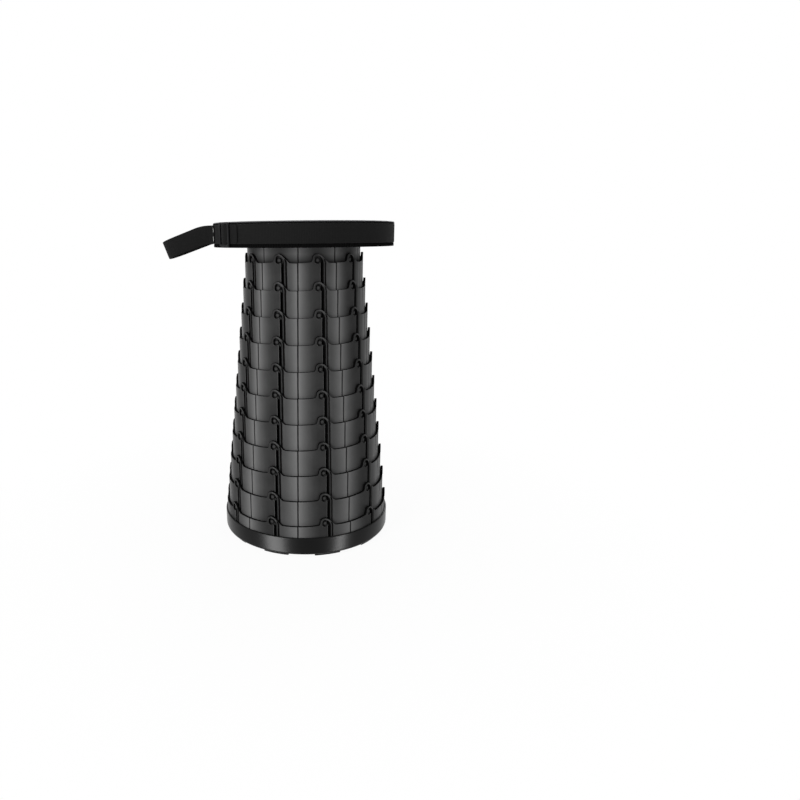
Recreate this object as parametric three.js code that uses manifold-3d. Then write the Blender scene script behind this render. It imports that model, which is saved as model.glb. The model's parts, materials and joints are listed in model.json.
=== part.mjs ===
// Collapsible telescopic stool: twelve nesting sleeve rings between a round seat and a base cup.
// Every ring but the top one has ten crook-shaped slots in raised lugs, and every ring but the
// bottom one has ten pegs that hang in the pockets of the next ring's slots.
// Units are millimetres and Z is up. The origin is the centre of the base plate's underside.
// An angle is measured from the front, which is -Y, and grows towards +X.

import * as THREE from 'three';
import Module from 'manifold-3d';

const wasm = await Module();
wasm.setup();

// Stack of sleeve rings
const ringCount = 12;
const hooksPerRing = 10;
const hookPhaseAngle = 12.9;
const topRingRadius = 78.6;
const ringWall = 2.8;
const ringClearance = 0.98;
const stageTravel = 35;
const restOverlap = 3.5;

// Peg, and the relief behind the pocket that it slides down
const pegDiameter = 5.8;
const pegSeatHeight = 3.5;
const pegSides = 6;
const channelSkin = 0.9;
const pegTipClearance = 0.28;

// Pocket and crook-shaped slot round the peg. Heights count from the ring's main top edge.
const pocketLeftClearance = 1;
const pocketRightClearance = 0.75;
const pocketRoofClearance = 2.4;
const pocketFloorDepth = 0.7;
const pocketSideShare = 0.31;
const pocketHaunchShares = [0.67, 0.84];
const pocketDipShare = 0.36;
const lipHeight = 0.4;
const slotClearance = 1.55;
const slotShoulderDepth = 1;
const slotHoopHeight = 3.5;
const slotBendShares = [0.56, 0.53];

// Walls of the raised lug round the crook
const lugLeftWall = 6.6;
const lugRightWall = 4.6;
const lugTopWall = 2.9;
const lugCrownShare = 0.97;

// Base cup
const bandClearance = 0.4;
const baseWall = 1.96;
const basePlate = 3;
const baseClosedGap = 0.5;
const baseEdgeRound = 6.6;
const baseBrimRound = 1.6;
const baseBrimShare = 0.5;
const baseFaceStep = 0.8;
const stackFloorGap = 0.5;
const edgeRoundShares = [0.25, 0.35];

// Rubber feet
const footHeight = 3.3;
const footWidth = 13;
const footInset = 2.4;
const footFaceGap = 9;
const footSpanAngle = 18;
const footPhaseAngle = 15;
const footCount = 10;
const footArcSteps = 3;

// Seat
const seatPlate = 4.5;
const seatHeight = 32;
const seatEdgeRound = 3;
const seatSkirt = 1.8;
const seatSkirtClearance = 0.76;
const seatUnderRound = 1;
const seatLipHeight = 4.4;
const seatLipProud = 1.2;
const channelDepth = 1.6;
const seatLugGap = 0.7;

// Centre disc with its two finger holes
const discDiameter = 94;
const discThickness = 3.4;
const discLedge = 6;
const discRecess = 0.2;
const discClearance = 0.3;
const fingerHoleDiameter = 23;
const fingerHoleRim = 7;
const discSides = 24;
const fingerHoleSides = 12;

// Screws that hold the top ring to the seat
const screwCount = 5;
const screwDiameter = 3.4;
const screwClearance = 0.3;
const screwHeadInset = 1.7;
const screwHeadHeight = 2;
const screwSkin = 1.3;
const screwSides = 6;
const screwBossRadius = 5;
const screwBossHeight = 11;
const screwBossBite = 1.1;

// Webbing strap, handle loop and slider
const webThickness = 1.4;
const webClearance = 0.3;
const loopStartAngle = -76;
const loopEndAngle = -107;
const loopReach = 70;
const loopWidth = 56;
const loopTipFlat = 4;
const loopLapAngle = 5;
const loopDroopAngle = 22;
const loopDroopRun = 30;
const loopArcSteps = 4;
const loopStrandSteps = 3;
const sliderAngle = -52;
const sliderLength = 23;
const sliderThickness = 1.8;
const sliderSideBar = 3;
const sliderEndBar = 2.6;
const sliderCentreBar = 3.4;
const sliderPlay = 0.4;
const sliderCorner = 3;
const sliderCornerSteps = 2;
const tailReach = 13;
const tailRunIn = 4;

// Shared fits
const seatFit = 0.3;
const overrun = 1;
const weldStep = 0.0001;
const roundSteps = 36;

// Rings, pegs and hooks that follow from the sizes above
const degree = Math.PI / 180;
const unitAngle = 2 * Math.PI / hooksPerRing;
const flatsFactor = 1 / Math.cos(Math.PI / roundSteps);
const radialPitch = ringWall + ringClearance;
const ringBody = stageTravel + restOverlap;
const bottomRingBody = ringBody + stackFloorGap;
const bottomRingTop = basePlate + bottomRingBody;
const pegHeight = radialPitch - channelSkin - pegTipClearance;
const pegRadius = pegDiameter / 2;
const pocketLeft = pegRadius + pocketLeftClearance;
const pocketHeight = pegSeatHeight + pegRadius + pocketRoofClearance;
const slotLeft = pegRadius + pocketRightClearance;
const slotRight = slotLeft + pegDiameter + slotClearance;
const lugLeft = pocketLeft + lugLeftWall;
const lugRight = slotRight + lugRightWall;
const lugHeight = pocketHeight + lugTopWall;

// Seat, base, feet and strap that follow from the stack
const skirtInnerRadius = (ringRadius(ringCount) + seatSkirtClearance) * flatsFactor;
const channelRadius = skirtInnerRadius + seatSkirt;
const seatRadius = channelRadius + channelDepth;
const lipRadius = channelRadius + seatLipProud;
const seatUnderside = bottomRingTop + lugHeight + seatLugGap + (ringCount - 1) * stageTravel;
const seatTop = seatUnderside + seatPlate;
const lipBottom = seatTop - seatHeight;
const lipTop = lipBottom + seatLipHeight;
const bandInnerRadius = (ringRadius(ringCount) + bandClearance) * flatsFactor;
const baseRadius = bandInnerRadius + baseWall;
const baseBandTop = lipBottom - (ringCount - 1) * stageTravel - baseClosedGap;
const footOuterRadius = baseRadius - baseEdgeRound - footInset;
const footInnerRadius = footOuterRadius - footWidth;
const baseFaceRadius = footInnerRadius - footFaceGap;
const discRadius = discDiameter / 2;
const fingerHoleOffset = discRadius - fingerHoleRim - fingerHoleDiameter / 2;
const screwRadius = topRingRadius - ringWall + screwBossBite - screwBossRadius;
const screwHeadRadius = screwBossRadius - screwHeadInset;
const strapInnerRadius = channelRadius + webClearance;
const strapOuterRadius = strapInnerRadius + webThickness;
const strapTop = seatTop - seatEdgeRound - webClearance;
const strapBottom = lipTop + webClearance;
const strapMiddle = (strapTop + strapBottom) / 2;
const webWidth = strapTop - strapBottom;
const sliderHeight = webWidth + 2 * (sliderPlay + sliderEndBar);
const loopCornerRadius = loopWidth / 2 - loopTipFlat;

const stool = new THREE.Group();

function ringRadius(number) {
  return topRingRadius + (number - 1) * radialPitch;
}

// Height of a ring's main top edge at full extension
function ringTop(number) {
  return bottomRingTop + (ringCount - number) * stageTravel;
}

function around(radius, angle, z) {
  return new THREE.Vector3(radius * Math.sin(angle), -radius * Math.cos(angle), z);
}

function addPart(name, geometry, material) {
  const mesh = new THREE.Mesh(geometry, material);
  mesh.name = name;
  stool.add(mesh);
  return mesh;
}

// Collects triangles and shares the vertices that lie in one place
class SolidBuilder {
  constructor() {
    this.positions = [];
    this.triangles = [];
    this.lookup = new Map();
  }

  vertex(point) {
    const key = [point.x, point.y, point.z].map((value) => Math.round(value / weldStep)).join(' ');
    if (!this.lookup.has(key)) {
      this.lookup.set(key, this.positions.length / 3);
      this.positions.push(point.x, point.y, point.z);
    }
    return this.lookup.get(key);
  }

  triangle(a, b, c) {
    if (a !== b && b !== c && c !== a) {
      this.triangles.push(a, b, c);
    }
  }

  geometry() {
    const geometry = new THREE.BufferGeometry();
    geometry.setAttribute('position', new THREE.Float32BufferAttribute(this.positions, 3));
    geometry.setIndex(this.triangles);
    geometry.computeVertexNormals();
    return geometry;
  }
}

// Turns a geometry into a manifold solid for joining and cutting
function toSolid(geometry) {
  const builder = new SolidBuilder();
  const position = geometry.getAttribute('position');
  const index = geometry.getIndex();
  const count = index ? index.count : position.count;
  const corner = [];
  for (let i = 0; i < count; i += 1) {
    const source = index ? index.getX(i) : i;
    corner.push(builder.vertex(new THREE.Vector3().fromBufferAttribute(position, source)));
    if (corner.length === 3) {
      builder.triangle(...corner);
      corner.length = 0;
    }
  }
  const mesh = new wasm.Mesh({
    numProp: 3,
    vertProperties: new Float32Array(builder.positions),
    triVerts: new Uint32Array(builder.triangles),
  });
  return new wasm.Manifold(mesh);
}

function fromSolid(solid) {
  const mesh = solid.getMesh();
  const geometry = new THREE.BufferGeometry();
  geometry.setAttribute('position', new THREE.BufferAttribute(mesh.vertProperties, 3));
  geometry.setIndex(new THREE.BufferAttribute(mesh.triVerts, 1));
  geometry.computeVertexNormals();
  return geometry;
}

// One tile of a ring's wall, unrolled: points are [distance along the wall, height], turning
// left seen from outside, and depth is the wall's thickness there.
function tile(points, depth, peg = null) {
  return { points, depth, peg };
}

function pegOutline(centre) {
  return Array.from({ length: pegSides }, (_, i) => {
    const turn = 2 * Math.PI * i / pegSides;
    return [centre[0] + pegRadius * Math.cos(turn), centre[1] + pegRadius * Math.sin(turn)];
  });
}

function toVectors(points) {
  return points.map((point) => new THREE.Vector2(point[0], point[1]));
}

// Tiles of one hook: pocket side, channel, slot side and the plain panel up to the next hook
function hookTiles(radius, top, body, withPeg) {
  const bottom = top - body;
  const slotBottom = bottom + slotHoopHeight;
  const middle = radius * unitAngle / 2;
  const next = radius * unitAngle - lugLeft;
  const crownLeft = [-pocketLeft, top + lugHeight * lugCrownShare];
  const crownRight = [slotLeft, top + lugHeight];
  const pocketSide = [-pocketLeft, top + pocketHeight * pocketSideShare];
  const pocketRoof = [slotLeft, top + pocketHeight];
  const lip = [slotLeft, top + lipHeight];
  const slotFoot = [slotLeft, slotBottom];
  const peg = withPeg ? [0, bottom + restOverlap + pegSeatHeight] : null;
  const pocketTile = tile([
    [-lugLeft, bottom],
    [-pocketLeft, bottom],
    pocketSide,
    [-pocketLeft * pocketHaunchShares[0], top + pocketHeight * pocketHaunchShares[1]],
    pocketRoof,
    crownRight,
    crownLeft,
    [-lugLeft, top],
  ], ringWall);
  const channelTile = tile([
    [-pocketLeft, bottom],
    [slotLeft, bottom],
    slotFoot,
    lip,
    [-pocketLeft * pocketDipShare, top - pocketFloorDepth],
    pocketSide,
  ], channelSkin, peg);
  const slotTile = tile([
    [slotLeft, bottom],
    [lugRight, bottom],
    [lugRight, top],
    crownRight,
    pocketRoof,
    [slotLeft + (slotRight - slotLeft) * slotBendShares[0], top + pocketHeight * slotBendShares[1]],
    [slotRight, top - slotShoulderDepth],
    [slotRight, slotBottom],
    slotFoot,
  ], ringWall);
  const panelTiles = [[lugRight, middle], [middle, next]].map(([left, right]) => tile([
    [left, bottom],
    [right, bottom],
    [right, top],
    [left, top],
  ], ringWall));
  return [pocketTile, channelTile, slotTile, ...panelTiles];
}

// Tiles of a plain ring with pegs only
function plainTiles(radius, top, bottom) {
  const unit = radius * unitAngle;
  const lines = [-pocketLeft, slotLeft, unit / 2, unit - pocketLeft];
  return lines.slice(1).map((right, i) => {
    const left = lines[i];
    const peg = left < 0 && right > 0 ? [0, bottom + restOverlap + pegSeatHeight] : null;
    return tile([[left, bottom], [right, bottom], [right, top], [left, top]], ringWall, peg);
  });
}

// Wraps the tiles of one hook round the ring as often as it has hooks, and closes the solid:
// outer faces, inner faces at each tile's depth, free edges, steps between depths, and pegs.
function wrapTiles(tiles, radius) {
  const builder = new SolidBuilder();
  const edges = new Map();
  const depths = new Map();
  const faces = [];
  for (let unit = 0; unit < hooksPerRing; unit += 1) {
    const start = hookPhaseAngle * degree + unit * unitAngle;
    for (const { points, depth, peg } of tiles) {
      const place = ([along, z], sink) => around(radius - sink, start + along / radius, z);
      const outer = points.map((point) => builder.vertex(place(point, 0)));
      outer.forEach((a, i) => {
        edges.set(`${a} ${outer[(i + 1) % outer.length]}`, depth);
        depths.set(a, (depths.get(a) ?? new Set()).add(depth));
      });
      faces.push({ points, depth, peg, place, outer });
    }
  }
  const columns = new Map();
  const columnVertex = (face, i, depth) => {
    const key = `${face.outer[i]} ${depth}`;
    if (!columns.has(key)) {
      columns.set(key, builder.vertex(face.place(face.points[i], depth)));
    }
    return columns.get(key);
  };
  const chain = (face, i, from, to) => {
    const between = [...depths.get(face.outer[i])].filter((d) => d > from && d < to);
    return [from, ...between, to].map((depth) => ({ depth, index: columnVertex(face, i, depth) }));
  };
  for (const face of faces) {
    const hole = face.peg ? pegOutline(face.peg) : null;
    const contour = toVectors(face.points);
    const cap = THREE.ShapeUtils.triangulateShape(contour, hole ? [toVectors(hole)] : []);
    const foot = hole ? hole.map((point) => builder.vertex(face.place(point, 0))) : [];
    const outerLoop = [...face.outer, ...foot];
    cap.forEach(([a, b, c]) => builder.triangle(outerLoop[a], outerLoop[b], outerLoop[c]));
    const inner = face.points.map((_, i) => columnVertex(face, i, face.depth));
    THREE.ShapeUtils.triangulateShape(contour, [])
      .forEach(([a, b, c]) => builder.triangle(inner[c], inner[b], inner[a]));
    face.points.forEach((_, i) => {
      const j = (i + 1) % face.points.length;
      const neighbour = edges.get(`${face.outer[j]} ${face.outer[i]}`) ?? 0;
      if (neighbour < face.depth) {
        closeEdge(builder, chain(face, i, neighbour, face.depth), chain(face, j, neighbour, face.depth));
      }
    });
    if (hole) {
      addPeg(builder, hole, foot, face.place);
    }
  }
  return builder.geometry();
}

// Fills the wall between two columns of vertices that run from the outer to the inner face
function closeEdge(builder, columnA, columnB) {
  let a = 0;
  let b = 0;
  while (a < columnA.length - 1 || b < columnB.length - 1) {
    const stepA = b === columnB.length - 1
      || (a < columnA.length - 1 && columnA[a + 1].depth <= columnB[b + 1].depth);
    if (stepA) {
      builder.triangle(columnB[b].index, columnA[a].index, columnA[a + 1].index);
      a += 1;
    } else {
      builder.triangle(columnB[b].index, columnA[a].index, columnB[b + 1].index);
      b += 1;
    }
  }
}

// Raises a peg on its outline, straight out from the wall
function addPeg(builder, outline, foot, place) {
  const base = outline.map((point) => place(point, 0));
  const centre = base.reduce((sum, point) => sum.add(point), new THREE.Vector3());
  const outward = new THREE.Vector3(centre.x, centre.y, 0).normalize().multiplyScalar(pegHeight);
  const tip = base.map((point) => builder.vertex(point.clone().add(outward)));
  tip.forEach((_, i) => {
    const j = (i + 1) % tip.length;
    builder.triangle(foot[i], foot[j], tip[j]);
    builder.triangle(foot[i], tip[j], tip[i]);
  });
  for (let i = 1; i < tip.length - 1; i += 1) {
    builder.triangle(tip[0], tip[i], tip[i + 1]);
  }
}

// A solid turned about Z from a closed profile of [radius, height] points
function turned(profile, steps = roundSteps) {
  const points = profile.map(([radius, z]) => new THREE.Vector2(radius, z));
  const geometry = new THREE.LatheGeometry(points, steps);
  return geometry.rotateX(Math.PI / 2);
}

// An upright prism with a regular outline and one corner towards the front
function prism(radius, sides, bottom, top) {
  const geometry = new THREE.CylinderGeometry(radius, radius, top - bottom, sides);
  geometry.rotateX(Math.PI / 2);
  return geometry.translate(0, 0, (top + bottom) / 2);
}

// Moves a geometry from the axis to the place of a screw, halfway between two columns of hooks
function atScrew(geometry, i) {
  geometry.translate(0, -screwRadius, 0);
  return geometry.rotateZ(hookPhaseAngle * degree + unitAngle / 2 + i * 2 * Math.PI / screwCount);
}

function makeRing(number) {
  const radius = ringRadius(number);
  const body = number === ringCount ? bottomRingBody : ringBody;
  return wrapTiles(hookTiles(radius, ringTop(number), body, number < ringCount), radius);
}

function makeTopRing() {
  const bottom = ringTop(2) - restOverlap;
  let solid = toSolid(wrapTiles(plainTiles(topRingRadius, seatUnderside, bottom), topRingRadius));
  const bossBottom = seatUnderside - screwBossHeight;
  const bore = screwDiameter / 2 + screwClearance;
  for (let i = 0; i < screwCount; i += 1) {
    const boss = prism(screwBossRadius, screwSides, bossBottom, seatUnderside);
    const hole = prism(bore, screwSides, bossBottom - overrun, seatUnderside + overrun);
    solid = solid.add(toSolid(atScrew(boss, i))).subtract(toSolid(atScrew(hole, i)));
  }
  return fromSolid(solid);
}

function makeScrew(i) {
  const headTop = seatUnderside - screwBossHeight - seatFit;
  const headBottom = headTop - screwHeadHeight;
  const tip = seatTop - screwSkin - screwClearance;
  const head = prism(screwHeadRadius, screwSides, headBottom, headTop);
  const shank = prism(screwDiameter / 2, screwSides, headBottom + overrun, tip);
  return fromSolid(toSolid(atScrew(head, i)).add(toSolid(atScrew(shank, i))));
}

function makeSeatShell() {
  const opening = discRadius + discClearance;
  const ledgeTop = seatTop - discRecess - discThickness / 2;
  const shell = turned([
    [opening, seatTop],
    [opening, ledgeTop],
    [opening - discLedge, ledgeTop],
    [opening - discLedge, seatUnderside],
    [skirtInnerRadius - seatUnderRound, seatUnderside],
    [skirtInnerRadius, seatUnderside - seatUnderRound],
    [skirtInnerRadius, lipBottom],
    [lipRadius, lipBottom],
    [lipRadius, lipTop],
    [channelRadius, lipTop],
    [channelRadius, seatTop - seatEdgeRound],
    [seatRadius, seatTop - seatEdgeRound],
    [seatRadius - seatEdgeRound * edgeRoundShares[0], seatTop - seatEdgeRound * edgeRoundShares[1]],
    [seatRadius - seatEdgeRound, seatTop],
    [opening, seatTop],
  ]);
  const bore = screwDiameter / 2 + screwClearance;
  let solid = toSolid(shell);
  for (let i = 0; i < screwCount; i += 1) {
    const hole = prism(bore, screwSides, seatUnderside - overrun, seatTop - screwSkin);
    solid = solid.subtract(toSolid(atScrew(hole, i)));
  }
  return fromSolid(solid);
}

// A flange that fills the seat's opening and a spigot that stands in the ledge, both bored
function makeCentreDisc() {
  const top = seatTop - discRecess;
  const spigotRadius = discRadius - discLedge - discClearance;
  const flangeBottom = top - discThickness / 2 + seatFit;
  const flange = prism(discRadius, discSides, flangeBottom, top);
  const spigot = prism(spigotRadius, discSides, top - discThickness, top - seatFit);
  let solid = toSolid(flange).add(toSolid(spigot));
  for (const side of [-1, 1]) {
    const low = top - discThickness - overrun;
    const hole = prism(fingerHoleDiameter / 2, fingerHoleSides, low, top + overrun);
    solid = solid.subtract(toSolid(hole.translate(side * fingerHoleOffset, 0, 0)));
  }
  return fromSolid(solid);
}

function makeBaseShell() {
  const edgeRadius = baseRadius - baseEdgeRound;
  return turned([
    [0, 0],
    [baseFaceRadius, 0],
    [baseFaceRadius + baseFaceStep, baseFaceStep],
    [edgeRadius, baseFaceStep],
    [baseRadius - baseEdgeRound * edgeRoundShares[0], baseFaceStep + baseEdgeRound * edgeRoundShares[1]],
    [baseRadius, baseFaceStep + baseEdgeRound],
    [baseRadius, baseBandTop - baseBrimRound],
    [baseRadius - baseBrimRound * baseBrimShare, baseBandTop],
    [bandInnerRadius, baseBandTop],
    [bandInnerRadius, basePlate],
    [0, basePlate],
  ]);
}

function makeFoot(i) {
  const middle = (footPhaseAngle + i * 360 / footCount) * degree;
  const half = footSpanAngle * degree / 2;
  const shape = new THREE.Shape();
  const outline = [];
  for (let step = 0; step <= footArcSteps; step += 1) {
    outline.push([footOuterRadius, middle - half + 2 * half * step / footArcSteps]);
  }
  for (let step = footArcSteps; step >= 0; step -= 1) {
    outline.push([footInnerRadius, middle - half + 2 * half * step / footArcSteps]);
  }
  shape.setFromPoints(outline.map(([radius, angle]) => {
    const point = around(radius, angle, 0);
    return new THREE.Vector2(point.x, point.y);
  }));
  const geometry = new THREE.ExtrudeGeometry(shape, { depth: footHeight, bevelEnabled: false });
  return geometry.translate(0, 0, baseFaceStep - footHeight);
}

function makeRimStrap() {
  return turned([
    [strapInnerRadius, strapBottom],
    [strapOuterRadius, strapBottom],
    [strapOuterRadius, strapTop],
    [strapInnerRadius, strapTop],
    [strapInnerRadius, strapBottom],
  ]);
}

// Middle line of the handle loop seen from above: lapped on the strap, out, round and back
function loopPath() {
  const lap = strapOuterRadius + webClearance + webThickness / 2;
  const middle = (loopStartAngle + loopEndAngle) * degree / 2;
  const outward = around(1, middle, 0);
  const sideways = new THREE.Vector3(-outward.y, outward.x, 0);
  const straight = loopWidth / 2 - loopCornerRadius;
  const tipCentre = lap + loopReach - loopCornerRadius;
  const tip = [];
  for (let step = -loopArcSteps; step <= loopArcSteps; step += 1) {
    const turn = step / loopArcSteps * Math.PI / 2;
    const out = tipCentre + loopCornerRadius * Math.cos(turn);
    const side = Math.sign(step) * straight + loopCornerRadius * Math.sin(turn);
    tip.push(outward.clone().multiplyScalar(out).addScaledVector(sideways, side));
  }
  const first = around(lap, loopEndAngle * degree, 0);
  const last = around(lap, loopStartAngle * degree, 0);
  const strand = (from, to) => Array.from({ length: loopStrandSteps - 1 }, (_, i) => (
    from.clone().lerp(to, (i + 1) / loopStrandSteps)
  ));
  const path = [
    around(lap, (loopEndAngle - loopLapAngle) * degree, 0),
    first,
    ...strand(first, tip[0]),
    ...tip,
    ...strand(tip[tip.length - 1], last),
    last,
    around(lap, (loopStartAngle + loopLapAngle) * degree, 0),
  ];
  return { path, outward };
}

// The webbing bends down over a short run from the strap and then slopes straight on.
// Takes a point's distance from the strap and its height above the webbing's middle line.
function droop(distance, height) {
  const run = Math.min(Math.max(distance, 0), loopDroopRun);
  const rest = Math.max(distance - loopDroopRun, 0);
  const bend = loopDroopAngle * degree * run / loopDroopRun;
  const before = Math.min(distance, 0);
  return {
    out: before + run * Math.cos(bend / 2) + rest * Math.cos(bend) + height * Math.sin(bend),
    rise: height * Math.cos(bend) - run * Math.sin(bend / 2) - rest * Math.sin(bend),
  };
}

function makeHandleLoop() {
  const { path, outward } = loopPath();
  const half = webWidth / 2;
  const builder = new SolidBuilder();
  const section = [[-1, -1], [1, -1], [1, 1], [-1, 1]];
  const rings = path.map((point, i) => {
    const before = path[Math.max(i - 1, 0)];
    const after = path[Math.min(i + 1, path.length - 1)];
    const along = after.clone().sub(before).normalize();
    const across = new THREE.Vector3(along.y, -along.x, 0).multiplyScalar(webThickness / 2);
    return section.map(([side, level]) => {
      const spot = point.clone().addScaledVector(across, side);
      const out = spot.dot(outward);
      const bent = droop(out - strapOuterRadius, level * half);
      spot.addScaledVector(outward, strapOuterRadius + bent.out - out);
      return builder.vertex(spot.setZ(strapMiddle + bent.rise));
    });
  });
  rings.slice(1).forEach((ring, i) => {
    section.forEach((_, corner) => {
      const other = (corner + 1) % section.length;
      builder.triangle(rings[i][corner], ring[other], rings[i][other]);
      builder.triangle(rings[i][corner], ring[corner], ring[other]);
    });
  });
  const end = rings[rings.length - 1];
  builder.triangle(rings[0][0], rings[0][1], rings[0][2]);
  builder.triangle(rings[0][0], rings[0][2], rings[0][3]);
  builder.triangle(end[0], end[2], end[1]);
  builder.triangle(end[0], end[3], end[2]);
  return builder.geometry();
}

// Two-window slider, flat, standing off the strap by the tail's thickness
function makeSlider() {
  const across = sliderLength / 2;
  const up = sliderHeight / 2;
  const shape = new THREE.Shape();
  const corners = [[1, 1, 0], [-1, 1, 1], [-1, -1, 2], [1, -1, 3]];
  const outline = [];
  for (const [x, y, quarter] of corners) {
    for (let step = 0; step <= sliderCornerSteps; step += 1) {
      const turn = (quarter + step / sliderCornerSteps) * Math.PI / 2;
      outline.push(new THREE.Vector2(
        x * (across - sliderCorner) + sliderCorner * Math.cos(turn),
        y * (up - sliderCorner) + sliderCorner * Math.sin(turn),
      ));
    }
  }
  shape.setFromPoints(outline);
  const plate = new THREE.ExtrudeGeometry(shape, { depth: sliderThickness, bevelEnabled: false });
  let solid = toSolid(plate);
  const inner = sliderCentreBar / 2;
  const width = across - sliderSideBar - inner;
  for (const side of [-1, 1]) {
    const height = sliderHeight - 2 * sliderEndBar;
    const window = new THREE.BoxGeometry(width, height, sliderThickness + 2 * overrun);
    window.translate(side * (inner + width / 2), 0, sliderThickness / 2);
    solid = solid.subtract(toSolid(window));
  }
  return placeOnStrap(fromSolid(solid), strapOuterRadius + 2 * webClearance + webThickness);
}

// Tail of the strap: in under one side bar, over the centre bar and out under the other
function makeStrapTail() {
  const high = webThickness + 2 * webClearance + sliderThickness;
  const windowEdge = sliderLength / 2 - sliderSideBar;
  const barEdge = sliderCentreBar / 2 + webClearance + webThickness;
  const spine = [
    [-windowEdge - sliderSideBar - tailRunIn, 0],
    [-windowEdge, 0],
    [-barEdge, high],
    [barEdge, high],
    [windowEdge, 0],
    [windowEdge + sliderSideBar, 0],
    [windowEdge + sliderSideBar + tailReach, 0],
  ];
  const side = (offset) => spine.map(([along, rise]) => {
    const radius = strapOuterRadius + webClearance;
    const point = around(radius + rise + offset, along / radius, 0);
    return new THREE.Vector2(point.x, point.y);
  });
  const shape = new THREE.Shape([...side(webThickness), ...side(0).reverse()]);
  const geometry = new THREE.ExtrudeGeometry(shape, { depth: webWidth, bevelEnabled: false });
  geometry.translate(0, 0, strapBottom);
  return geometry.rotateZ(sliderAngle * degree);
}

// Stands a flat geometry, drawn in X and Y with its depth along Z, on the strap's outside
function placeOnStrap(geometry, radius) {
  geometry.rotateX(Math.PI / 2);
  geometry.translate(0, -radius, strapMiddle);
  return geometry.rotateZ(sliderAngle * degree);
}

const moulding = new THREE.MeshStandardMaterial({ color: 0x3b3b3d, roughness: 0.45, metalness: 0 });
const glossBlack = new THREE.MeshStandardMaterial({ color: 0x161617, roughness: 0.25, metalness: 0 });
const seatGrey = new THREE.MeshStandardMaterial({ color: 0x454547, roughness: 0.55, metalness: 0 });
const orange = new THREE.MeshStandardMaterial({ color: 0xfb6042, roughness: 0.4, metalness: 0 });
const webbing = new THREE.MeshStandardMaterial({ color: 0x1c1c1e, roughness: 0.9, metalness: 0 });
const rubber = new THREE.MeshStandardMaterial({ color: 0x0f0f10, roughness: 0.85, metalness: 0 });
const steel = new THREE.MeshStandardMaterial({ color: 0x9a9a9a, roughness: 0.35, metalness: 1 });

function twoDigits(number) {
  return String(number).padStart(2, '0');
}

addPart('base_shell', makeBaseShell(), glossBlack);
for (let i = 0; i < footCount; i += 1) {
  addPart(`foot_${twoDigits(i + 1)}`, makeFoot(i), rubber);
}
for (let number = ringCount; number > 1; number -= 1) {
  addPart(`ring_${twoDigits(number)}`, makeRing(number), moulding);
}
addPart('ring_01', makeTopRing(), moulding);
for (let i = 0; i < screwCount; i += 1) {
  addPart(`seat_screw_${i + 1}`, makeScrew(i), steel);
}
addPart('seat_shell', makeSeatShell(), seatGrey);
addPart('centre_disc', makeCentreDisc(), orange);
addPart('rim_strap', makeRimStrap(), webbing);
addPart('handle_loop', makeHandleLoop(), webbing);
addPart('slider_buckle', makeSlider(), glossBlack);
addPart('strap_tail', makeStrapTail(), webbing);

export default stool;
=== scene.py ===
"""Dresses the frame of a collapsible telescopic stool: twelve nested rings that hang on each other
by pegs and hooks, a round seat with a carrying strap, and a cup-shaped base.

Lengths are in millimetres until a mesh is made, z points up, and an angle round the stool is counted
from the front towards the right, so a place is (r sin a, -r cos a, z).
"""

import json
import logging
import math
from dataclasses import dataclass
from dataclasses import field
from enum import Enum
from enum import IntEnum

import bpy
import numpy as np
from mathutils import Matrix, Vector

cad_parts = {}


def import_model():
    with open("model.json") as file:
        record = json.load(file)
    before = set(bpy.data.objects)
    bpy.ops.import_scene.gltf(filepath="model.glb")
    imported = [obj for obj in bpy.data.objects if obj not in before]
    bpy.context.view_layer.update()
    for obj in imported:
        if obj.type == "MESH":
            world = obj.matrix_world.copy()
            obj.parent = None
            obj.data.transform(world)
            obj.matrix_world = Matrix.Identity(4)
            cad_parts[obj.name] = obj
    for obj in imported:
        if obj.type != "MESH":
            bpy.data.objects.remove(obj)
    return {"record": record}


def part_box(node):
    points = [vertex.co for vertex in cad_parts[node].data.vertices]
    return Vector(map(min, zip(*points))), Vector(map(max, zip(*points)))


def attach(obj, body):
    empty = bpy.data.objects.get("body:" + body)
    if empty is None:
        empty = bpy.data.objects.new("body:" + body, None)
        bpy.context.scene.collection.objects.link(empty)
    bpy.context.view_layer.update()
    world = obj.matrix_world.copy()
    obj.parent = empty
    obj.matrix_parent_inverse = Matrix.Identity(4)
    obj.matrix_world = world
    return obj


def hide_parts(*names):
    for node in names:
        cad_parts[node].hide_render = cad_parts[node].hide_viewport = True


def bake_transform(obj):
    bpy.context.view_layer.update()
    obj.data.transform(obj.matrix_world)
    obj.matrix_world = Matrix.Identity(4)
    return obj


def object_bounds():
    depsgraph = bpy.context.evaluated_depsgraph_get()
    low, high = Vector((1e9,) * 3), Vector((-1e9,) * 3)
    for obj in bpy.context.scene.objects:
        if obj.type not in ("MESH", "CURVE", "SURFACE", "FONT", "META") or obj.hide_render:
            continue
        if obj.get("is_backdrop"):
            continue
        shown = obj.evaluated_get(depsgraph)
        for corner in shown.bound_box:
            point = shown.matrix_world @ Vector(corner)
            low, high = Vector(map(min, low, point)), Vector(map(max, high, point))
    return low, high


LOG = logging.getLogger("stool")
MM = 0.001
# Points that fall into one step of this many millimetres are one point.
WELD_STEP = 0.0005
# Lengths that differ by less than this many millimetres are the same.
TOUCH = 1e-6
# A rounded edge has one point between its ends, at this share of its size from either face.
KNEE = 0.3
Array = np.ndarray
Points = tuple[tuple[float, float], ...]
Corners = tuple[tuple[float, float, float], ...]
Span = tuple[float, float]
Rise = tuple[float, float, float]
# The body that carries each node, which main takes from the record.
BODY_OF: dict[str, str] = {}


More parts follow.
